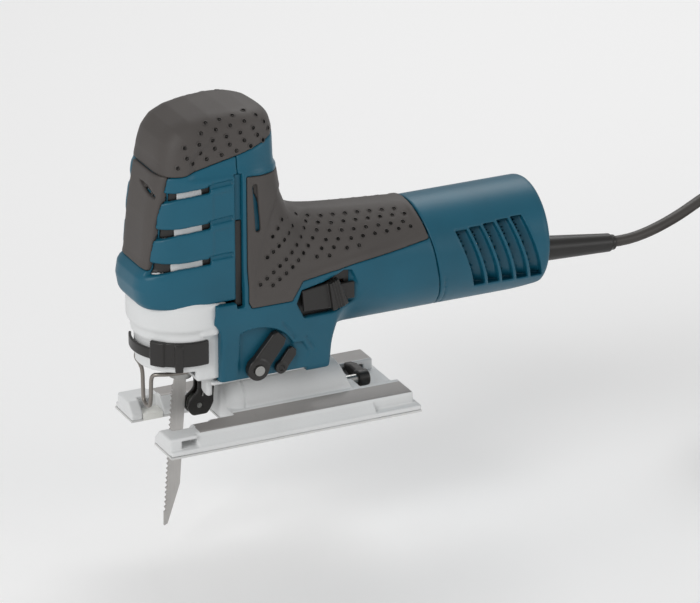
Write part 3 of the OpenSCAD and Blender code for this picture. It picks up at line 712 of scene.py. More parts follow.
def on_plunger(x, y, z):
    """Coordinates along the leaning plunger: across, side, up."""
    dx, dz = x - PLUNGER[0], z - PLUNGER[1]
    return dx * math.cos(LEAN) - dz * math.sin(LEAN), y, dx * math.sin(LEAN) + dz * math.cos(LEAN)


def housing_form(x, y, z):
    """Cast housing: round nose, hood ring, gear case, and the plate over the base."""
    w = np.abs(y)
    nose = rod(x, y, z, (NOSE_X, 0), (44.5, 90), 26.2, 1.2)
    collar = rod(x, y, z, (NOSE_X, 0), (64.4, 90), 27.5, 0.8)
    ring = rod(x - 0.9, y, z, (NOSE_X, 0), (71, 85.2), 31.0, 2.0)
    back = block(x, y, z, (-56, -26, 38), (-43.2, 26, 90), 1.5)
    shoulder = block(x, y, z, (-55, -30, 66), (-43.2, 30, 85.2), 2.0)
    case = join_max(2.0, head_form(x, y, z) + 3.6, slab(z, 88, 155), x + 4)
    well = block(x, y, z, (-46, -25.5, 38), (-4, 25.5, 72), 1.0)
    foot = block(x, y, z, (-46.2, -21.5, 24), (-42.9, 21.5, 46), 1.0)
    plate = block(x, y, z, (-46.2, -24.6, 33.0), (11.6, 24.6, 35.3), 0.6)
    spine = block(x, y, z, (-44, -9, 24), (26, 9, 45), 1.0)
    f = join(5.0, nose, collar, ring)
    f = join(1.2, f, back, shoulder)
    f = join(0.8, f, case, well, foot, plate, spine)
    f = cut(f, rod(x, y, z, (NOSE_X, 0), (41, 93), 22.5), 0.8)
    f = cut(f, block(x, y, z, (-55, -22.5, 41), (-14, 22.5, 75)), 0.8)
    f = cut(f, block(x, y, z, (-57, -26, 70), (-14, 26, 94)), 0.8)
    f = cut(f, join_max(0.6, head_form(x, y, z) + 6.6, slab(z, 92, 152), x + 14), 0.8)
    posts = on_plunger(x, y, z)
    f = join(0.8, f, rod(*posts, (0, 0), (29, 45), 12), rod(*posts, (0, 0), (107, 122), 12),
             block(x, y, z, (-62, -24, 74), (-44, 24, 77)), block(x, y, z, (-62, -27, 146), (-34, 27, 149)))
    for ends, radius in (((-8, 24), 12.5), ((28, 46), 9.0), ((106, 124), 9.0)):
        f = cut(f, rod(*posts, (0, 0), ends, radius, 0.1), 0.3)
    f = cut(f, block(x, y, z, (-50, -9, 20), (-33, 9, 52)), 0.8)
    f = cut(f, rod(y, z, x, (0, 111.5), (-16, 0), 4.0, 0.1), 0.2)
    f = cut(f, rod(y, z, x, (0, MOTOR_Z), (-16, 0), 11.0, 0.1), 0.2)
    f = cut(f, rod(x, z, y, ORBIT, (-40, -10), 4.4, 0.1), 0.3)
    f = cut(f, rod(x, z, y, BLOWER, (-40, -15), 2.4, 0.1), 0.3)
    f = cut(f, np.maximum(z - 33, 17.5 - w), 0.5)
    return cut(f, np.hypot(y, z) - 27.3, 0.5)


def base_form(x, y, z):
    """Cast base: two rails, sloped sides, the round vault of the bevel saddle."""
    w = np.abs(y)
    half, side = 78.7, 40.7
    flange = block(x, y, z, (-half + 0.4, -side, 1.3), (half, side, 4.2), 0.8)
    deck = block(x, y, z, (-half + 0.4, -35, 1.3), (half - 2.6, 35, 11), 1.2)
    slope = join_max(1.0, 0.6585 * (z - 4) + 0.7526 * (w - 40) - 0.1, z - 11, 1.4 - z, slab(x, -61, 50.5), w - 40.2)
    front = join_max(1.2, 0.85 * (w - 38.6) + 0.53 * (z - 11), slab(z, 1.4, 11), slab(x, -half + 0.4, -61), w - 38)
    f = join(0.8, flange, deck, slope, front)
    flare = np.clip((x - 38) / 8, 0, 1) ** 2 * 2.2
    muzzle = 15 * np.sqrt(np.maximum(1 - (np.minimum(x + 21, 0) / 12.4) ** 2, 0))
    arch = np.hypot(y, z - VAULT_Z) - muzzle - flare * np.clip((20 - z) / 8, 0, 1)
    vault = join_max(0.9, arch, np.hypot(y, z) - 27.2, slab(x, -33.4, 46) + 0.36 * (z - 11) * (x > 20), 4 - z)
    f = join(1.6, f, vault)
    f = cut(f, join_max(0.4, np.abs(x + 21) - 0.45, -(np.hypot(y, z - VAULT_Z) - 14.4), z - 40, 11.2 - z), 0.4)
    ridge = join_max(0.6, slab(x, -52, 46), slab(w, 16.9, 18.1), slab(z, 8, 12))
    f = join(0.6, f, ridge)
    f = cut(f, join_max(1.5, w - 16.5, x + 31, -5), 0.8)
    f = cut(f, join_max(1.0, slab(x, -71.6, -58.8), w - 26, -5), 0.8)
    f = cut(f, join_max(0.5, x + 47, 0.707 * (w - z - 11.5)), 0.6)
    f = cut(f, join_max(0.5, x + 31, 0.707 * (w - z - 9.7)), 0.6)
    f = cut(f, join_max(0.8, w - 12, slab(x, -24, 42), z - 14), 0.6)
    f = cut(f, join_max(0.8, np.hypot(y, z - VAULT_Z) - 12.0, slab(x, -24, 42), w - 12), 0.6)
    f = cut(f, join_max(0.8, slab(w, 18.5, 32.5), slab(x, -52, 70), z - 8), 0.6)
    f = cut(f, join_max(0.3, slab(x, -71, -61.5), slab(z, 4.4, 9), 24 - w), 0.4)
    f = cut(f, join_max(0.8, slab(y, -14.5, 19.5), 52 - x, 4.2 - z), 0.8)
    return cut(f, rod(y, z, x, (0, 9), (36, 62), 3.2, 0.1), 0.3)


def angle_wedge(x, y, first, last):
    """Flat distance to a wedge round the nose between two angles in degrees."""
    a, b = math.radians(first), math.radians(last)
    dx, dy = x - NOSE_X, y
    start = dx * math.sin(a) - dy * math.cos(a)
    stop = -dx * math.sin(b) + dy * math.cos(b)
    return np.maximum(start, stop)


def release_form(x, y, z):
    """Blade release: a thick band round the nose with a thumb rib."""
    r = np.hypot(x - NOSE_X, y)
    band = join_max(0.8, slab(r, 26.9, 29.3), slab(z, *BAND_Z), angle_wedge(x, y, 211, 281))
    grip = join_max(0.8, slab(r, 26.9, 30.4), slab(z, *BAND_Z), angle_wedge(x, y, 212, 229))
    rib = join_max(0.8, slab(r, 26.9, 30.4), slab(z, 46.3, 62.4), angle_wedge(x, y, 241, 250))
    strap = join_max(0.5, slab(r, 27.6, 29.2), slab(z, 52.8, 59.2), angle_wedge(x, y, 152, 214))
    return join(0.9, band, grip, rib, strap)


def along_lever(x, z, hub):
    """Distances along and across a lever that points up and back from its hub."""
    dx, dz, c, s = x - hub[0], z - hub[1], math.cos(LEVER_ANGLE), math.sin(LEVER_ANGLE)
    return dx * c + dz * s, dz * c - dx * s


def orbit_form(x, y, z):
    """Orbital selector: round hub and a stout arm with a sunk face."""
    u, v = along_lever(x, z, ORBIT)
    hub = rod(x, z, y, ORBIT, (-34.2, -29.0), 6.6, 1.0)
    arm = join_max(1.0, outline(u, v, [(0, -5.4), (20, -5.0), (23.6, -3.6), (24.2, 3.4), (21.6, 5.2), (0, 6.2)]),
                   slab(y, -33.6, -29.2))
    f = join(1.2, hub, arm, rod(x, z, y, ORBIT, (-30, -14), 4.0))
    return cut(f, rod(x, z, y, ORBIT, (-38, -33.0), 2.6, 0.2), 0.6)


def blower_form(x, y, z):
    """Small lever beside the orbital selector."""
    u, v = along_lever(x, z, BLOWER)
    hub = rod(x, z, y, BLOWER, (-32.3, -29.0), 3.6, 0.6)
    arm = join_max(0.8, outline(u, v, [(0, -3.4), (10.6, -3.4), (13.4, -1.4), (13.4, 1.8), (11.6, 3.0), (0, 3.0)]),
                   slab(y, -32.0, -29.2))
    f = join(0.9, hub, arm, rod(x, z, y, BLOWER, (-30, -17), 2.0))
    return cut(f, rod(x, z, y, BLOWER, (-38, -31.4), 1.7, 0.2), 0.5)


SLIDER_PLATE = [(7.4, 72.8), (6.4, 85.4), (22.4, 87.4), (24, 88), (26, 72)]
SLIDER_RAMP = [(22.2, 87.6), (28.6, 90.2), (35.2, 73.6), (24.6, 70.9)]


def bed_form(x, y, z):
    """Dark floor behind each switch window, open round the link."""
    w = np.abs(y)
    f = join_max(0.3, outline(x, z, SWITCH_WINDOW) - 0.9, slab(w, 27.7, 28.7))
    return cut(f, block(x, y, z, (12, -60, 74), (34, 60, 86)), 0.3)


def slider_form(x, y, z, side):
    """On/off slider: a flat plate and a raised thumb ramp."""
    w = side * y
    plate = join_max(0.7, outline(x, z, SLIDER_PLATE), slab(w, 31.2, 33.9))
    ramp = join_max(0.8, outline(x, z, SLIDER_RAMP), slab(w, 31.2, 36.4))
    across = x + 0.25 * (z - 80)
    ridges = 0.45 * np.clip(2.2 * np.sin(2 * math.pi * across / 1.7), 0, 1) * (np.abs(across - 29) < 3.6)
    ramp = keep(ramp + ridges, 0.50 * (x - 33.2) + 0.866 * (w - 35.0) + 0.12 * (z - 80), 0.8)
    foot = block(x, y, z, (9, min(side * 29.5, side * 32), 75), (40, max(side * 29.5, side * 32), 85), 0.4)
    return join(0.7, plate, ramp, foot)


def fork_form(x, y, z):
    """Roller fork: curved cheeks, stem and pivot barrel."""
    w = np.abs(y)
    disc = np.hypot(x - ROLLER[0], z - ROLLER[1]) - 7.0
    cheek = join(4.0, disc, outline(x, z, [(-46, 12), (-41, 8.6), (-36.4, 14), (-35.6, 23), (-38, 30), (-39.5, 38),
                                           (-45.5, 38), (-45.5, 26)]))
    cheek = keep(cheek, 7 - z, 0.6)
    f = join_max(0.5, cheek, slab(w, 2.15, 3.9))
    bridge = block(x, y, z, (-45.4, -3.9, 27), (-38.6, 3.9, 42), 0.6)
    f = join(0.8, f, bridge, rod(x, z, y, FORK, (-6, 6), 4.0))
    return cut(cut(f, rod(x, z, y, FORK, (-10, 10), 2.04, 0.1), 0.2), rod(x, z, y, ROLLER, (-6, 6), 1.52, 0.1), 0.2)


def bevel_form(x, y, z):
    """Bevel lock lever: hub on the clamp screw and a hooked arm."""
    hub = rod(y, z, x, (0, 9), (56.6, 63.6), 4.7, 0.8)
    arm = join_max(1.4, outline(y, z, [(-3, 6.4), (12, 6.0), (19, 8.2), (19.4, 11.4), (12, 13.2), (0, 13.0)]),
                   slab(x, 57.2, 63.0))
    f = join(1.5, hub, arm)
    return cut(f, rod(y, z, x, (0, 9), (50, 70), 3.1, 0.1), 0.2)


# ---------------------------------------------------------------- repeated details

def socket_id(tree, name):
    return next(s.identifier for s in tree.interface.items_tree if s.name == name and s.in_out == "INPUT")


def pore_tree(material):
    """Geometry nodes: a small cup with a thin rim on every point, turned to face along its 'aim'."""
    tree = bpy.data.node_groups.new("pores", "GeometryNodeTree")
    group_socket(tree, "Geometry", "NodeSocketGeometry")
    group_socket(tree, "Radius", "NodeSocketFloat", 0.0012)
    group_socket(tree, "Depth", "NodeSocketFloat", 0.001)
    group_socket(tree, "Rim", "NodeSocketFloat", 0.0006)
    group_socket(tree, "Geometry", "NodeSocketGeometry", out=True)
    n, link = tree.nodes, tree.links.new
    enter, leave = n.new("NodeGroupInput"), n.new("NodeGroupOutput")
    outer = n.new("ShaderNodeMath")
    link(enter.outputs["Radius"], outer.inputs[0])
    link(enter.outputs["Rim"], outer.inputs[1])
    drop = n.new("ShaderNodeMath")
    drop.operation = "MULTIPLY"
    drop.inputs[1].default_value = -1
    link(enter.outputs["Depth"], drop.inputs[0])
    down = n.new("ShaderNodeCombineXYZ")
    link(drop.outputs[0], down.inputs["Z"])
    join_all = n.new("GeometryNodeJoinGeometry")
    wall, rim, floor = n.new("GeometryNodeMeshCone"), n.new("GeometryNodeMeshCone"), n.new("GeometryNodeMeshCircle")
    for cone in (wall, rim):
        cone.fill_type = "NONE"
        cone.inputs["Vertices"].default_value = 16
        link(enter.outputs["Radius"], cone.inputs["Radius Top"])
    taper = n.new("ShaderNodeMath")
    taper.operation = "MULTIPLY"
    taper.inputs[1].default_value = 0.8
    link(enter.outputs["Radius"], taper.inputs[0])
    link(taper.outputs[0], wall.inputs["Radius Bottom"])
    link(enter.outputs["Depth"], wall.inputs["Depth"])
    link(outer.outputs[0], rim.inputs["Radius Bottom"])
    rim.inputs["Depth"].default_value = 0.0002
    floor.fill_type = "NGON"
    floor.inputs["Vertices"].default_value = 16
    link(taper.outputs[0], floor.inputs["Radius"])
    turned = n.new("GeometryNodeFlipFaces")
    sunk = n.new("GeometryNodeTransform")
    sunk_floor = n.new("GeometryNodeTransform")
    link(wall.outputs["Mesh"], turned.inputs["Mesh"])
    link(turned.outputs["Mesh"], sunk.inputs["Geometry"])
    link(down.outputs[0], sunk.inputs["Translation"])
    link(floor.outputs["Mesh"], sunk_floor.inputs["Geometry"])
    link(down.outputs[0], sunk_floor.inputs["Translation"])
    for part in (sunk, sunk_floor):
        mark = n.new("GeometryNodeStoreNamedAttribute")
        mark.data_type, mark.domain = "BOOLEAN", "FACE"
        mark.inputs["Name"].default_value = "inside"
        mark.inputs["Value"].default_value = True
        link(part.outputs["Geometry"], mark.inputs["Geometry"])
        link(mark.outputs["Geometry"], join_all.inputs["Geometry"])
    link(rim.outputs["Mesh"], join_all.inputs["Geometry"])
    aim = n.new("GeometryNodeInputNamedAttribute")
    aim.data_type = "FLOAT_VECTOR"
    aim.inputs["Name"].default_value = "aim"
    turn = n.new("FunctionNodeAlignRotationToVector")
    turn.axis = "Z"
    link(aim.outputs["Attribute"], turn.inputs["Vector"])
    place = n.new("GeometryNodeInstanceOnPoints")
    link(enter.outputs["Geometry"], place.inputs["Points"])
    link(join_all.outputs["Geometry"], place.inputs["Instance"])
    link(turn.outputs["Rotation"], place.inputs["Rotation"])
    real, paint = n.new("GeometryNodeRealizeInstances"), n.new("GeometryNodeSetMaterial")
    paint.inputs["Material"].default_value = soft_grip()
    # The cups' inner faces get the darker material: painted shade inside each pore.
    fill, inside = n.new("GeometryNodeSetMaterial"), n.new("GeometryNodeInputNamedAttribute")
    inside.data_type = "BOOLEAN"
    inside.inputs["Name"].default_value = "inside"
    fill.inputs["Material"].default_value = material
    link(place.outputs["Instances"], real.inputs["Geometry"])
    link(real.outputs["Geometry"], paint.inputs["Geometry"])
    link(paint.outputs["Geometry"], fill.inputs["Geometry"])
    link(inside.outputs["Attribute"], fill.inputs["Selection"])
    link(fill.outputs["Geometry"], leave.inputs["Geometry"])
    return tree


def bake(piece, tree, values):
    """Runs a geometry tree on a piece and leaves a plain mesh."""
    modifier = piece.modifiers.new("made", "NODES")
    modifier.node_group = tree
    for name, value in values.items():
        modifier[socket_id(tree, name)] = value
    bpy.context.view_layer.update()
    graph = bpy.context.evaluated_depsgraph_get()
    mesh = bpy.data.meshes.new_from_object(piece.evaluated_get(graph))
    piece.modifiers.clear()
    piece.data = mesh
    return piece


def on_side(field, x, z, side):
    """Where a line along Y through x, z meets the form on that side, with the way out, or None."""
    p = np.array([[x, side * 50.0, z]])
    for _ in range(80):
        p[0, 1] -= side * 0.8 * float(field(*p.T)[0])
    if abs(float(field(*p.T)[0])) > 0.05 or side * p[0, 1] < 4:
        return None
    return p[0], gradient(field, p)[0][0]


def pores(name, field, spots, body, material):
    """Dimples at x, z spots on both sides of a soft form."""
    points, ways = [], []
    for x, z in spots:
        for side in (-1, 1):
            hit = on_side(field, x, z, side)
            if hit:
                points.append((hit[0] + 0.02 * hit[1]) * MM)
                ways.append(hit[1])
    mesh = bpy.data.meshes.new(name)
    mesh.from_pydata([tuple(p) for p in points], [], [])
    aim = mesh.attributes.new("aim", "FLOAT_VECTOR", "POINT")
    aim.data.foreach_set("vector", np.array(ways, np.float32).ravel())
    piece = bpy.data.objects.new(name, mesh)
    bpy.context.scene.collection.objects.link(piece)
    s = sizes()
    bake(piece, pore_tree(material), {"Radius": s.pore_radius, "Depth": s.pore_depth, "Rim": 0.0005})
    piece.data.shade_flat()
    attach(piece, body)
    return points


def distance_to(p, x, y, z):
    return np.sqrt((x - p[0]) ** 2 + (y - p[1]) ** 2 + (z - p[2]) ** 2)


def sunk_at(field, points, radius=1.35):
    """The field with a round hole at each point, so that the pores' cups have room."""
    spots = np.array(points) / MM
    if not len(spots):
        return field

    def holed(x, y, z):
        f = field(x, y, z)
        shape = np.broadcast(f, x, y, z).shape
        f = np.broadcast_to(f, shape).copy()
        if f.ndim == 3:
            xs, ys, zs = x.ravel(), y.ravel(), z.ravel()
            reach = radius + 3
            for p in spots:
                i = [slice(*np.searchsorted(a, (c - reach, c + reach))) for a, c in zip((xs, ys, zs), p)]
                near = x[i[0]], y[:, i[1]], z[:, :, i[2]]
                f[tuple(i)] = cut(f[tuple(i)], distance_to(p, *near) - radius, 0.2)
            return f
        ball = np.full(len(x), 1e3)
        for p in spots:
            ball = np.minimum(ball, distance_to(p, x, y, z) - radius)
        return cut(f, ball, 0.2)

    return holed


def rows(table):
    """Places along straight rows, each given by its first place, its step and its count."""
    return [(x + dx * k, z + dz * k) for x, z, dx, dz, count in table for k in range(count)]


# First place, step and count of each pore row: rows that climb the neck, then rows along the barrel.
NECK_ROWS = (
    (-3.4, 128.7, -3.8, -3.8, 3), (4.4, 122.6, -3.8, -2.65, 6), (13.8, 117.9, -4.15, -3.0, 9),
    (22, 115, -4.2, -2.85, 9), (29.7, 113.6, -4.0, -3.6, 4), (37.2, 112.7, -3.9, -3.5, 4),
    (44.7, 112.2, 7.9, -0.3, 5), (41.3, 108.4, 7.7, 0, 6), (37.3, 104.3, 7.8, 0, 2),
    (17, 119.8, 7.8, -2.0, 2), (32.6, 116.5, 7.8, -0.45, 7), (12, 124.4, 8.0, -3.0, 2), (28.2, 119.9, 7.75, -0.6, 7),
)
CAP_ROWS = (
    (-65.7, 169.2, 8.6, 1.45, 7), (-60.6, 174.5, 8.6, 1.4, 7), (-61.2, 180.2, 8.2, 1.2, 7),
    (-51.1, 187.1, 8.7, 1.1, 5), (-46.9, 191.6, 8.2, 0.9, 4),
)


# ---------------------------------------------------------------- operators

class Build:
    bl_options = {"REGISTER", "UNDO"}


def step():
    return sizes().mesh_step / MM * 1.0


class JIGSAW_OT_cord(Build, bpy.types.Operator):
    """Mains cord on its route, its coil, the strain relief and the plug"""
    bl_idname = "jigsaw.cord"
    bl_label = "Cord and plug"

    def execute(self, context):
        route = [relief_point(RELIEF_LEN - 8)] + [Vector(p) for p in CORD_ROUTE]
        cx, cy = COIL_AT
        for k in range((COIL_TURNS - 1) * POINTS_PER_TURN + 4):
            t = k / POINTS_PER_TURN
            place = min(int(t), COIL_TURNS - 1)
            ease = min(max((t - place - 0.7) / 0.3, 0), 1)
            now, nxt = coil_slot(place), coil_slot(min(place + 1, COIL_TURNS - 1))
            r = now[0] + (nxt[0] - now[0]) * ease
            z = now[1] + (nxt[1] - now[1]) * ease
            a = math.radians(55) - 2 * math.pi * t
            route.append(Vector((cx + r * math.cos(a), cy + r * math.sin(a), z)))
        route += [Vector((PLUG_X, cy - back, z)) for back, z in ((8, 4.6), (17, 6.4), (26, 7.0))]
        cord = round_curve("mains_cord", route, CORD_D / 2, sides=4, steps=3, order=4)
        cord.data.materials.append(cord_jacket())
        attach(cord, "housing")
        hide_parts("cord", "cord_coil")
        plug = carve("mains_plug", plug_form, (PLUG_X - 12, cy - 68, -1), (PLUG_X + 12, cy + 2, 22), 0.7,
                     black_plastic(), "housing", ["plug"])
        carve("plug_pins", pin_form, (PLUG_X - 9, cy - 67, 5), (PLUG_X + 9, cy - 44, 16), 0.4,
              satin_steel(), "housing", ())
        carve("cord_relief", relief_form, (150, -10, 55), (229, 10, 82), 0.6,
              black_plastic(), "housing", ["strain_relief"])
        return {"FINISHED"}


def coil_slot(number):
    """Radius and height of one turn in the coil: four beside each other, four high, from the top down."""
    column, layer = number % 4, number // 4
    if layer % 2 == 0:
        column = 3 - column
    return COIL_MID_R + (column - 1.5) * CORD_D, CORD_D * (3.5 - layer)


def relief_point(along):
    x, y, z = RELIEF_START
    return Vector((x + along * math.cos(RELIEF_DROOP), y, z - along * math.sin(RELIEF_DROOP)))


def relief_form(x, y, z):
    """Tapered sleeve round the cord with a rounded collar at its end."""
    dx, dz = x - RELIEF_START[0], z - RELIEF_START[2]
    c, s = math.cos(RELIEF_DROOP), math.sin(RELIEF_DROOP)
    along, r = dx * c - dz * s, np.hypot(dx * s + dz * c, y)
    radius = np.interp(along, (-8, 2, 8, 58), (6.9, 7.6, 7.7, 5.4))
    f = join_max(0.8, r - radius, slab(along, -8, RELIEF_LEN - 3))
    tip = join_max(0.8, r - 4.6, slab(along, 50, RELIEF_LEN))
    return cut(join(1.2, f, tip), r - 3.3, 0.3)


def plug_form(x, y, z):
    """The plug's body and its ribbed neck, at the end of the coil."""
    cx, cy = PLUG_X, COIL_AT[1]
    body = block(x, y, z, (cx - 9, cy - 48, 0.1), (cx + 9, cy - 24, 19.9), 3.5)
    waist = np.clip((y - (cy - 38)) / 14, 0, 1) * 2.6
    body = soft_max(body, np.abs(x - cx) - 9 + waist, 1.5)
    neck = np.hypot(x - cx, z - 7) - np.interp(y, (cy - 26, cy), (6.4, 4.6))
    neck = join_max(0.8, neck, slab(y, cy - 28, cy - 0.2))
    neck = neck + 0.35 * (np.sin((y - cy) * 2 * math.pi / 4) > 0.3) * (y > cy - 22)
    f = join(2.0, body, neck)
    return cut(f, np.hypot(x - cx, z - 7) - 3.0 + np.maximum(cy - 24 - y, 0), 0.3)


def pin_form(x, y, z):
    """Two flat pins."""
    places = [PLUG_X - PIN_SPACING / 2, PLUG_X + PIN_SPACING / 2]
    return join(0.1, *[block(x, y, z, (px - 0.75, COIL_AT[1] - 65, 7), (px + 0.75, COIL_AT[1] - 46, 13.3), 0.5)
                       for px in places])


class JIGSAW_OT_shells(Build, bpy.types.Operator):
    """Left and right body shells with the lever recess, switch windows and surface lines"""
    bl_idname = "jigsaw.shells"
    bl_label = "Body shells"

    def execute(self, context):
        wall = sizes().shell_wall / MM

        def skin(x, y, z):
            inner = under_crown(body_form(x, y, z), x, y, z) + wall + 2.2
            return cut(shell_form(x, y, z), np.maximum(inner, x - seam_x(z) - 5), 0.5)

        def left(x, y, z):
            return np.maximum(skin(x, y, z), y + 0.05)

        def right(x, y, z):
            return np.maximum(skin(x, y, z), 0.05 - y)

        carve("body_shell_left", left, (-46, -36, 24), (102, 1.5, 186), step(), blue_shell(), "housing",
              ["shell_left"])
        carve("body_shell_right", right, (-46, -1.5, 24), (102, 36, 186), step(), blue_shell(), "housing",
              ["shell_right"])
        # Black strip deep in the groove: painted shade.
        carve("groove_painted_shade", groove_painted_shade_form, (-35, -31, 80), (-27, 31, 135), 0.6, black_plastic(), "housing",
              ())
        carve("groove_web", web_form, (-35, -31, 132), (-27, 31, 163), 0.7, blue_shell(), "housing", ())
        # Black plates inside the ends of the cover's slots: painted shade.
        carve("slot_painted_shade", slot_painted_shade_form, (-84, -32, 98), (-42, 32, 164), 0.8, black_plastic(), "housing", ())
        return {"FINISHED"}


class JIGSAW_OT_gear_cover(Build, bpy.types.Operator):
    """Ribbed cover over the gears with its slots"""
    bl_idname = "jigsaw.gear_cover"
    bl_label = "Gear cover"

    def execute(self, context):
        def skin(x, y, z):
            return cut(cover_form(x, y, z), np.maximum(under_crown(head_form(x, y, z), x, y, z) + 3.0, 20 - z), 0.5)

        carve("gear_hood", skin, (-94, -36, 82), (-29, 36, 178), step() * 0.85, blue_shell(), "housing",
              ["gear_cover"])
        return {"FINISHED"}


class JIGSAW_OT_grips(Build, bpy.types.Operator):
    """Soft cap, front strip and neck sleeve with their pores"""
    bl_idname = "jigsaw.grips"
    bl_label = "Soft grips"

    def execute(self, context):
        # The pores' inner faces take a darker copy of the grip: painted shade.
        soft, inside = soft_grip(), pore_painted_shade()
        holes = pores("cap_pores", cap_form, rows(CAP_ROWS), "housing", inside)

        def cap(x, y, z):
            return cut(cap_form(x, y, z), cap_form(x, y, z) + 3.0, 0.4)

        carve("soft_cap", sunk_at(cap, holes), (-84, -36, 158), (8, 36, 199), step() * 0.85, soft, "housing",
              ["grip_cap"])
        carve("front_strip", lambda x, y, z: cut(strip_form(x, y, z), head_form(x, y, z) + 2.1, 0.3),
              (-92, -22, 105), (-56, 22, 170), step() * 0.75, soft, "housing", ())
        holes = pores("neck_pores", sleeve_form, rows(NECK_ROWS), "housing", inside)
        carve("neck_sleeve", sunk_at(sleeve_form, holes), (-30, -36, 76), (96, 36, 164), step() * 0.85, soft,
              "housing", ["neck_grip"])
        return {"FINISHED"}


class JIGSAW_OT_barrel(Build, bpy.types.Operator):
    """Motor barrel with louvred vents, and the plate in its end"""
    bl_idname = "jigsaw.barrel"
    bl_label = "Motor barrel"

    def execute(self, context):
        def skin(x, y, z):
            inner = join_max(2.0, tube_form(x, y, z) + 6.6, chin_gap(x, y, z) + 3.0, x - BARREL_END + 3.0)
            return cut(barrel_with_vents(x, y, z), inner, 0.4)

        carve("motor_tube", skin, (84, -36, 48), (169, 36, 119), step() * 0.82, blue_shell(), "housing",
              ["motor_barrel", "end_cap"])
        return {"FINISHED"}


class JIGSAW_OT_nose(Build, bpy.types.Operator):
    """Cast housing with its round nose, the wire guard and the roller fork"""
    bl_idname = "jigsaw.nose"
    bl_label = "Nose and guide"

    def execute(self, context):
        carve("cast_housing", housing_form, (-90, -34, 22), (30, 34, 158), step(), cast_paint(), "housing",
              ["gear_housing"])
        tube("touch_guard", GUARD_ROUTE, 1.2, wire_steel(), "housing", ["wire_guard"], "steel")
        tube("fork_spring", ((-41.2, -5.1, 33), (-41.6, -5.2, 27), (-42.6, -5.0, 22), (-43.4, -4.7, 19)), 0.45,
             satin_steel(), "fork", (), "steel")
        carve("fork_body", fork_form, (-55, -8, 4), (-29, 8, 50), 0.4, black_plastic(), "fork", ["roller_fork"])
        return {"FINISHED"}


class JIGSAW_OT_levers(Build, bpy.types.Operator):
    """Blade release, orbital selector, blower lever and bevel lever"""
    bl_idname = "jigsaw.levers"
    bl_label = "Levers"

    def execute(self, context):
        black = black_plastic()
        for name, form, low, high, body, node in (
                ("release_band", release_form, (-88, -33, 44), (-46, 16, 66), "release_lever", "release_lever"),
                ("orbit_arm", orbit_form, (-31, -36, 32), (0, -12, 68), "orbit", "orbit_lever"),
                ("blower_arm", blower_form, (-12, -34, 34), (8, -15, 56), "blower", "blower_lever"),
                ("bevel_arm", bevel_form, (54, -8, 1), (66, 20, 19), "bevel_lock", "bevel_lever")):
            carve(name, form, low, high, 0.45, black, body, [node])
        return {"FINISHED"}


class JIGSAW_OT_switch(Build, bpy.types.Operator):
    """On/off sliders with their thumb ridges"""
    bl_idname = "jigsaw.switch"
    bl_label = "Switch sliders"

    def execute(self, context):
        carve("slider_bed", bed_form, (0, -30, 64), (50, 30, 98), 0.8, black_plastic(), "housing", ())
        for side, name in ((-1, "left"), (1, "right")):
            low, high = sorted((side * 28, side * 38.5))
            carve(f"thumb_slider_{name}", lambda x, y, z, s=side: slider_form(x, y, z, s), (4, low, 69),
                  (42, high, 92), 0.45, black_plastic(), "switch_slide", [f"slider_{name}"])
        return {"FINISHED"}


class JIGSAW_OT_base(Build, bpy.types.Operator):
    """Cast base plate over the steel sole"""
    bl_idname = "jigsaw.base"
    bl_label = "Base plate"

    def execute(self, context):
        base = carve("cast_base", base_form, (-80.5, -42.5, 0), (80.5, 42.5, 30), 0.75, cast_paint(), "base",
                     ["base_plate"])
        # Faces turned up on the deck take the darker grey: a machined face, and painted shade.
        base.data.materials.append(deck_top_machined_shaded())
        for face in base.data.polygons:
            x, y, z = face.center / MM
            if face.normal.z > 0.9 and 10.2 < z < 12 and abs(y) > 18 and x > -58:
                face.material_index = 1
        return {"FINISHED"}


CLAD = {
    "steel": satin_steel, "blade_steel": blade_steel, "soft_grip": soft_grip, "blue_plastic": blue_shell,
    "black_plastic": black_plastic, "cast_metal": cast_paint, "cord_rubber": cord_jacket,
    "lamination": lambda: finish_of("stacked sheet", (0.40, 0.41, 0.42), rough=(0.4, 0.5), metallic=0.8,
                                    grain=1500, stretch=(6, 0.2, 0.2)),
    "copper": lambda: finish_of("enamelled copper", (0.70, 0.40, 0.22), rough=(0.25, 0.4), metallic=0.9,
                                stretch=(1, 0.2, 0.2)),
    "bronze": lambda: finish_of("sintered bronze", (0.64, 0.52, 0.30), rough=(0.4, 0.5), metallic=0.9),
    "brass": lambda: finish_of("brass", (0.74, 0.62, 0.34), rough=(0.25, 0.35), metallic=1.0),
    "carbon": lambda: finish_of("carbon", (0.16, 0.16, 0.17), rough=(0.6, 0.7)),
    "circuit": lambda: finish_of("potted board", (0.20, 0.40, 0.27), rough=(0.3, 0.5)),
    "insert_plastic": lambda: finish_of("clear insert", (0.84, 0.84, 0.82), rough=(0.3, 0.4)),
}


class JIGSAW_OT_clad(Build, bpy.types.Operator):
    """Finishes on every part that keeps its own form"""
    bl_idname = "jigsaw.clad"
    bl_label = "Metal parts"

    def execute(self, context):
        slot_of = {s["node"]: s["material_slot"] for s in frame["record"]["subparts"]}
        for name, piece in nodes.items():
            material = sole_steel() if name == "sole_plate" else CLAD[slot_of[name]]()
            piece.data.materials.clear()
            piece.data.materials.append(material)
        return {"FINISHED"}


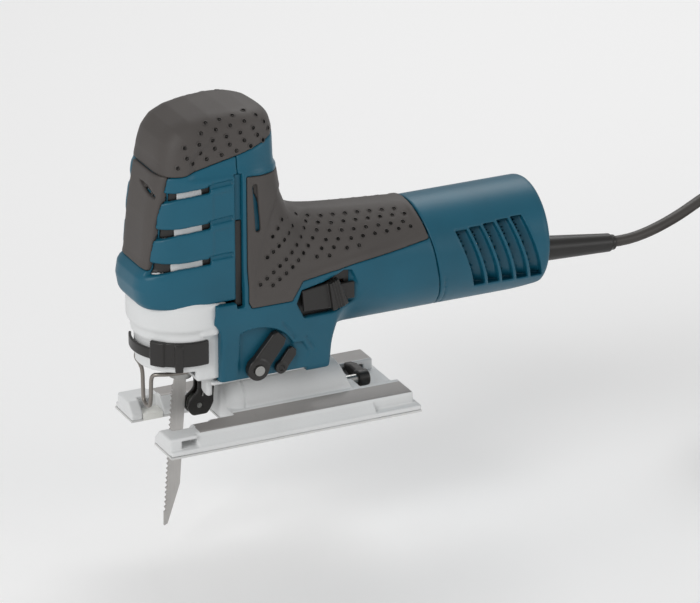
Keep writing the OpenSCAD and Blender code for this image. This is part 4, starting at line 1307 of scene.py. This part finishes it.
class JIGSAW_OT_stage(Build, bpy.types.Operator):
    """Pale floor and soft studio light"""
    bl_idname = "jigsaw.stage"
    bl_label = "Stage"

    def execute(self, context):
        scene = context.scene
        bpy.ops.mesh.primitive_plane_add(size=9, location=(0.2, 0.4, FLOOR_Z))
        floor = context.object
        floor.name = "floor"
        paper = bpy.data.materials.new("paper floor")
        paper.use_nodes = True
        shader = paper.node_tree.nodes["Principled BSDF"]
        shader.inputs["Base Color"].default_value = (0.97, 0.97, 0.97, 1)
        shader.inputs["Roughness"].default_value = 0.9
        floor.data.materials.append(paper)
        world = bpy.data.worlds.new("studio")
        world.use_nodes = True
        world.node_tree.nodes["Background"].inputs["Color"].default_value = (1, 1, 1, 1)
        world.node_tree.nodes["Background"].inputs["Strength"].default_value = 0.5
        scene.world = world
        for name, place, aim, size, power in LAMPS:
            light = bpy.data.lights.new(name, "AREA")
            light.energy = power
            light.size = size
            lamp = bpy.data.objects.new(name, light)
            lamp.location = place
            lamp.rotation_euler = (Vector(aim) - Vector(place)).to_track_quat("-Z", "Y").to_euler()
            scene.collection.objects.link(lamp)
        scene.view_settings.view_transform = "Standard"
        return {"FINISHED"}


class JIGSAW_OT_camera(Build, bpy.types.Operator):
    """Camera at a raised three-quarter view from the front left"""
    bl_idname = "jigsaw.camera"
    bl_label = "Camera"

    def execute(self, context):
        data = bpy.data.cameras.new("camera")
        data.sensor_width = 36
        data.lens = CAMERA_LENS
        data.clip_end = 20
        camera = bpy.data.objects.new("camera", data)
        camera.location = Vector(CAMERA_AT) * MM
        camera.rotation_euler = Vector(CAMERA_WAY).to_track_quat("-Z", "Y").to_euler()
        context.scene.collection.objects.link(camera)
        context.scene.camera = camera
        return {"FINISHED"}


def round_curve(name, route, radius, sides, steps, order):
    """A smooth curve object with a round section along a route in millimetres."""
    curve = bpy.data.curves.new(name, "CURVE")
    curve.dimensions = "3D"
    curve.bevel_depth = radius * MM
    curve.bevel_resolution = sides
    curve.resolution_u = steps
    curve.use_fill_caps = True
    spline = curve.splines.new("NURBS")
    spline.points.add(len(route) - 1)
    for point, p in zip(spline.points, route):
        point.co = (*(Vector(p) * MM), 1)
    spline.order_u = order
    spline.use_endpoint_u = True
    path = bpy.data.objects.new(name, curve)
    bpy.context.scene.collection.objects.link(path)
    return path


def tube(name, route, radius, material, body, stands_for, slot):
    """A round wire along a smooth route, as a mesh."""
    path = round_curve(name, route, radius, sides=3, steps=4, order=3)
    bpy.context.view_layer.update()
    mesh = bpy.data.meshes.new_from_object(path.evaluated_get(bpy.context.evaluated_depsgraph_get()))
    bpy.data.objects.remove(path)
    piece = bpy.data.objects.new(name, mesh)
    bpy.context.scene.collection.objects.link(piece)
    mesh.shade_smooth()
    return dress(piece, material, body, stands_for)


OPERATORS = (JIGSAW_OT_camera, JIGSAW_OT_cord, JIGSAW_OT_clad, JIGSAW_OT_shells, JIGSAW_OT_gear_cover,
             JIGSAW_OT_grips, JIGSAW_OT_barrel, JIGSAW_OT_nose, JIGSAW_OT_levers, JIGSAW_OT_switch,
             JIGSAW_OT_base, JIGSAW_OT_stage)


class JIGSAW_PT_panel(bpy.types.Panel):
    """Sizes, colours and the pieces to build"""
    bl_idname = "JIGSAW_PT_panel"
    bl_label = "Jigsaw"
    bl_space_type = "VIEW_3D"
    bl_region_type = "UI"
    bl_category = "Jigsaw"

    def draw(self, context):
        layout = self.layout
        for group in (context.scene.jigsaw_sizes, context.scene.jigsaw_finish):
            for name in group.__annotations__:
                layout.prop(group, name)
        for operator in OPERATORS:
            layout.operator(operator.bl_idname)


CLASSES = (JigsawFinish, JigsawSizes) + OPERATORS + (JIGSAW_PT_panel,)


def register():
    for item in CLASSES:
        bpy.utils.register_class(item)
    bpy.types.Scene.jigsaw_finish = bpy.props.PointerProperty(type=JigsawFinish)
    bpy.types.Scene.jigsaw_sizes = bpy.props.PointerProperty(type=JigsawSizes)


def unregister():
    del bpy.types.Scene.jigsaw_finish
    del bpy.types.Scene.jigsaw_sizes
    for item in reversed(CLASSES):
        bpy.utils.unregister_class(item)


def main():
    register()
    for operator in OPERATORS:
        area, name = operator.bl_idname.split(".")
        getattr(getattr(bpy.ops, area), name)()


if __name__ == "__main__":
    main()
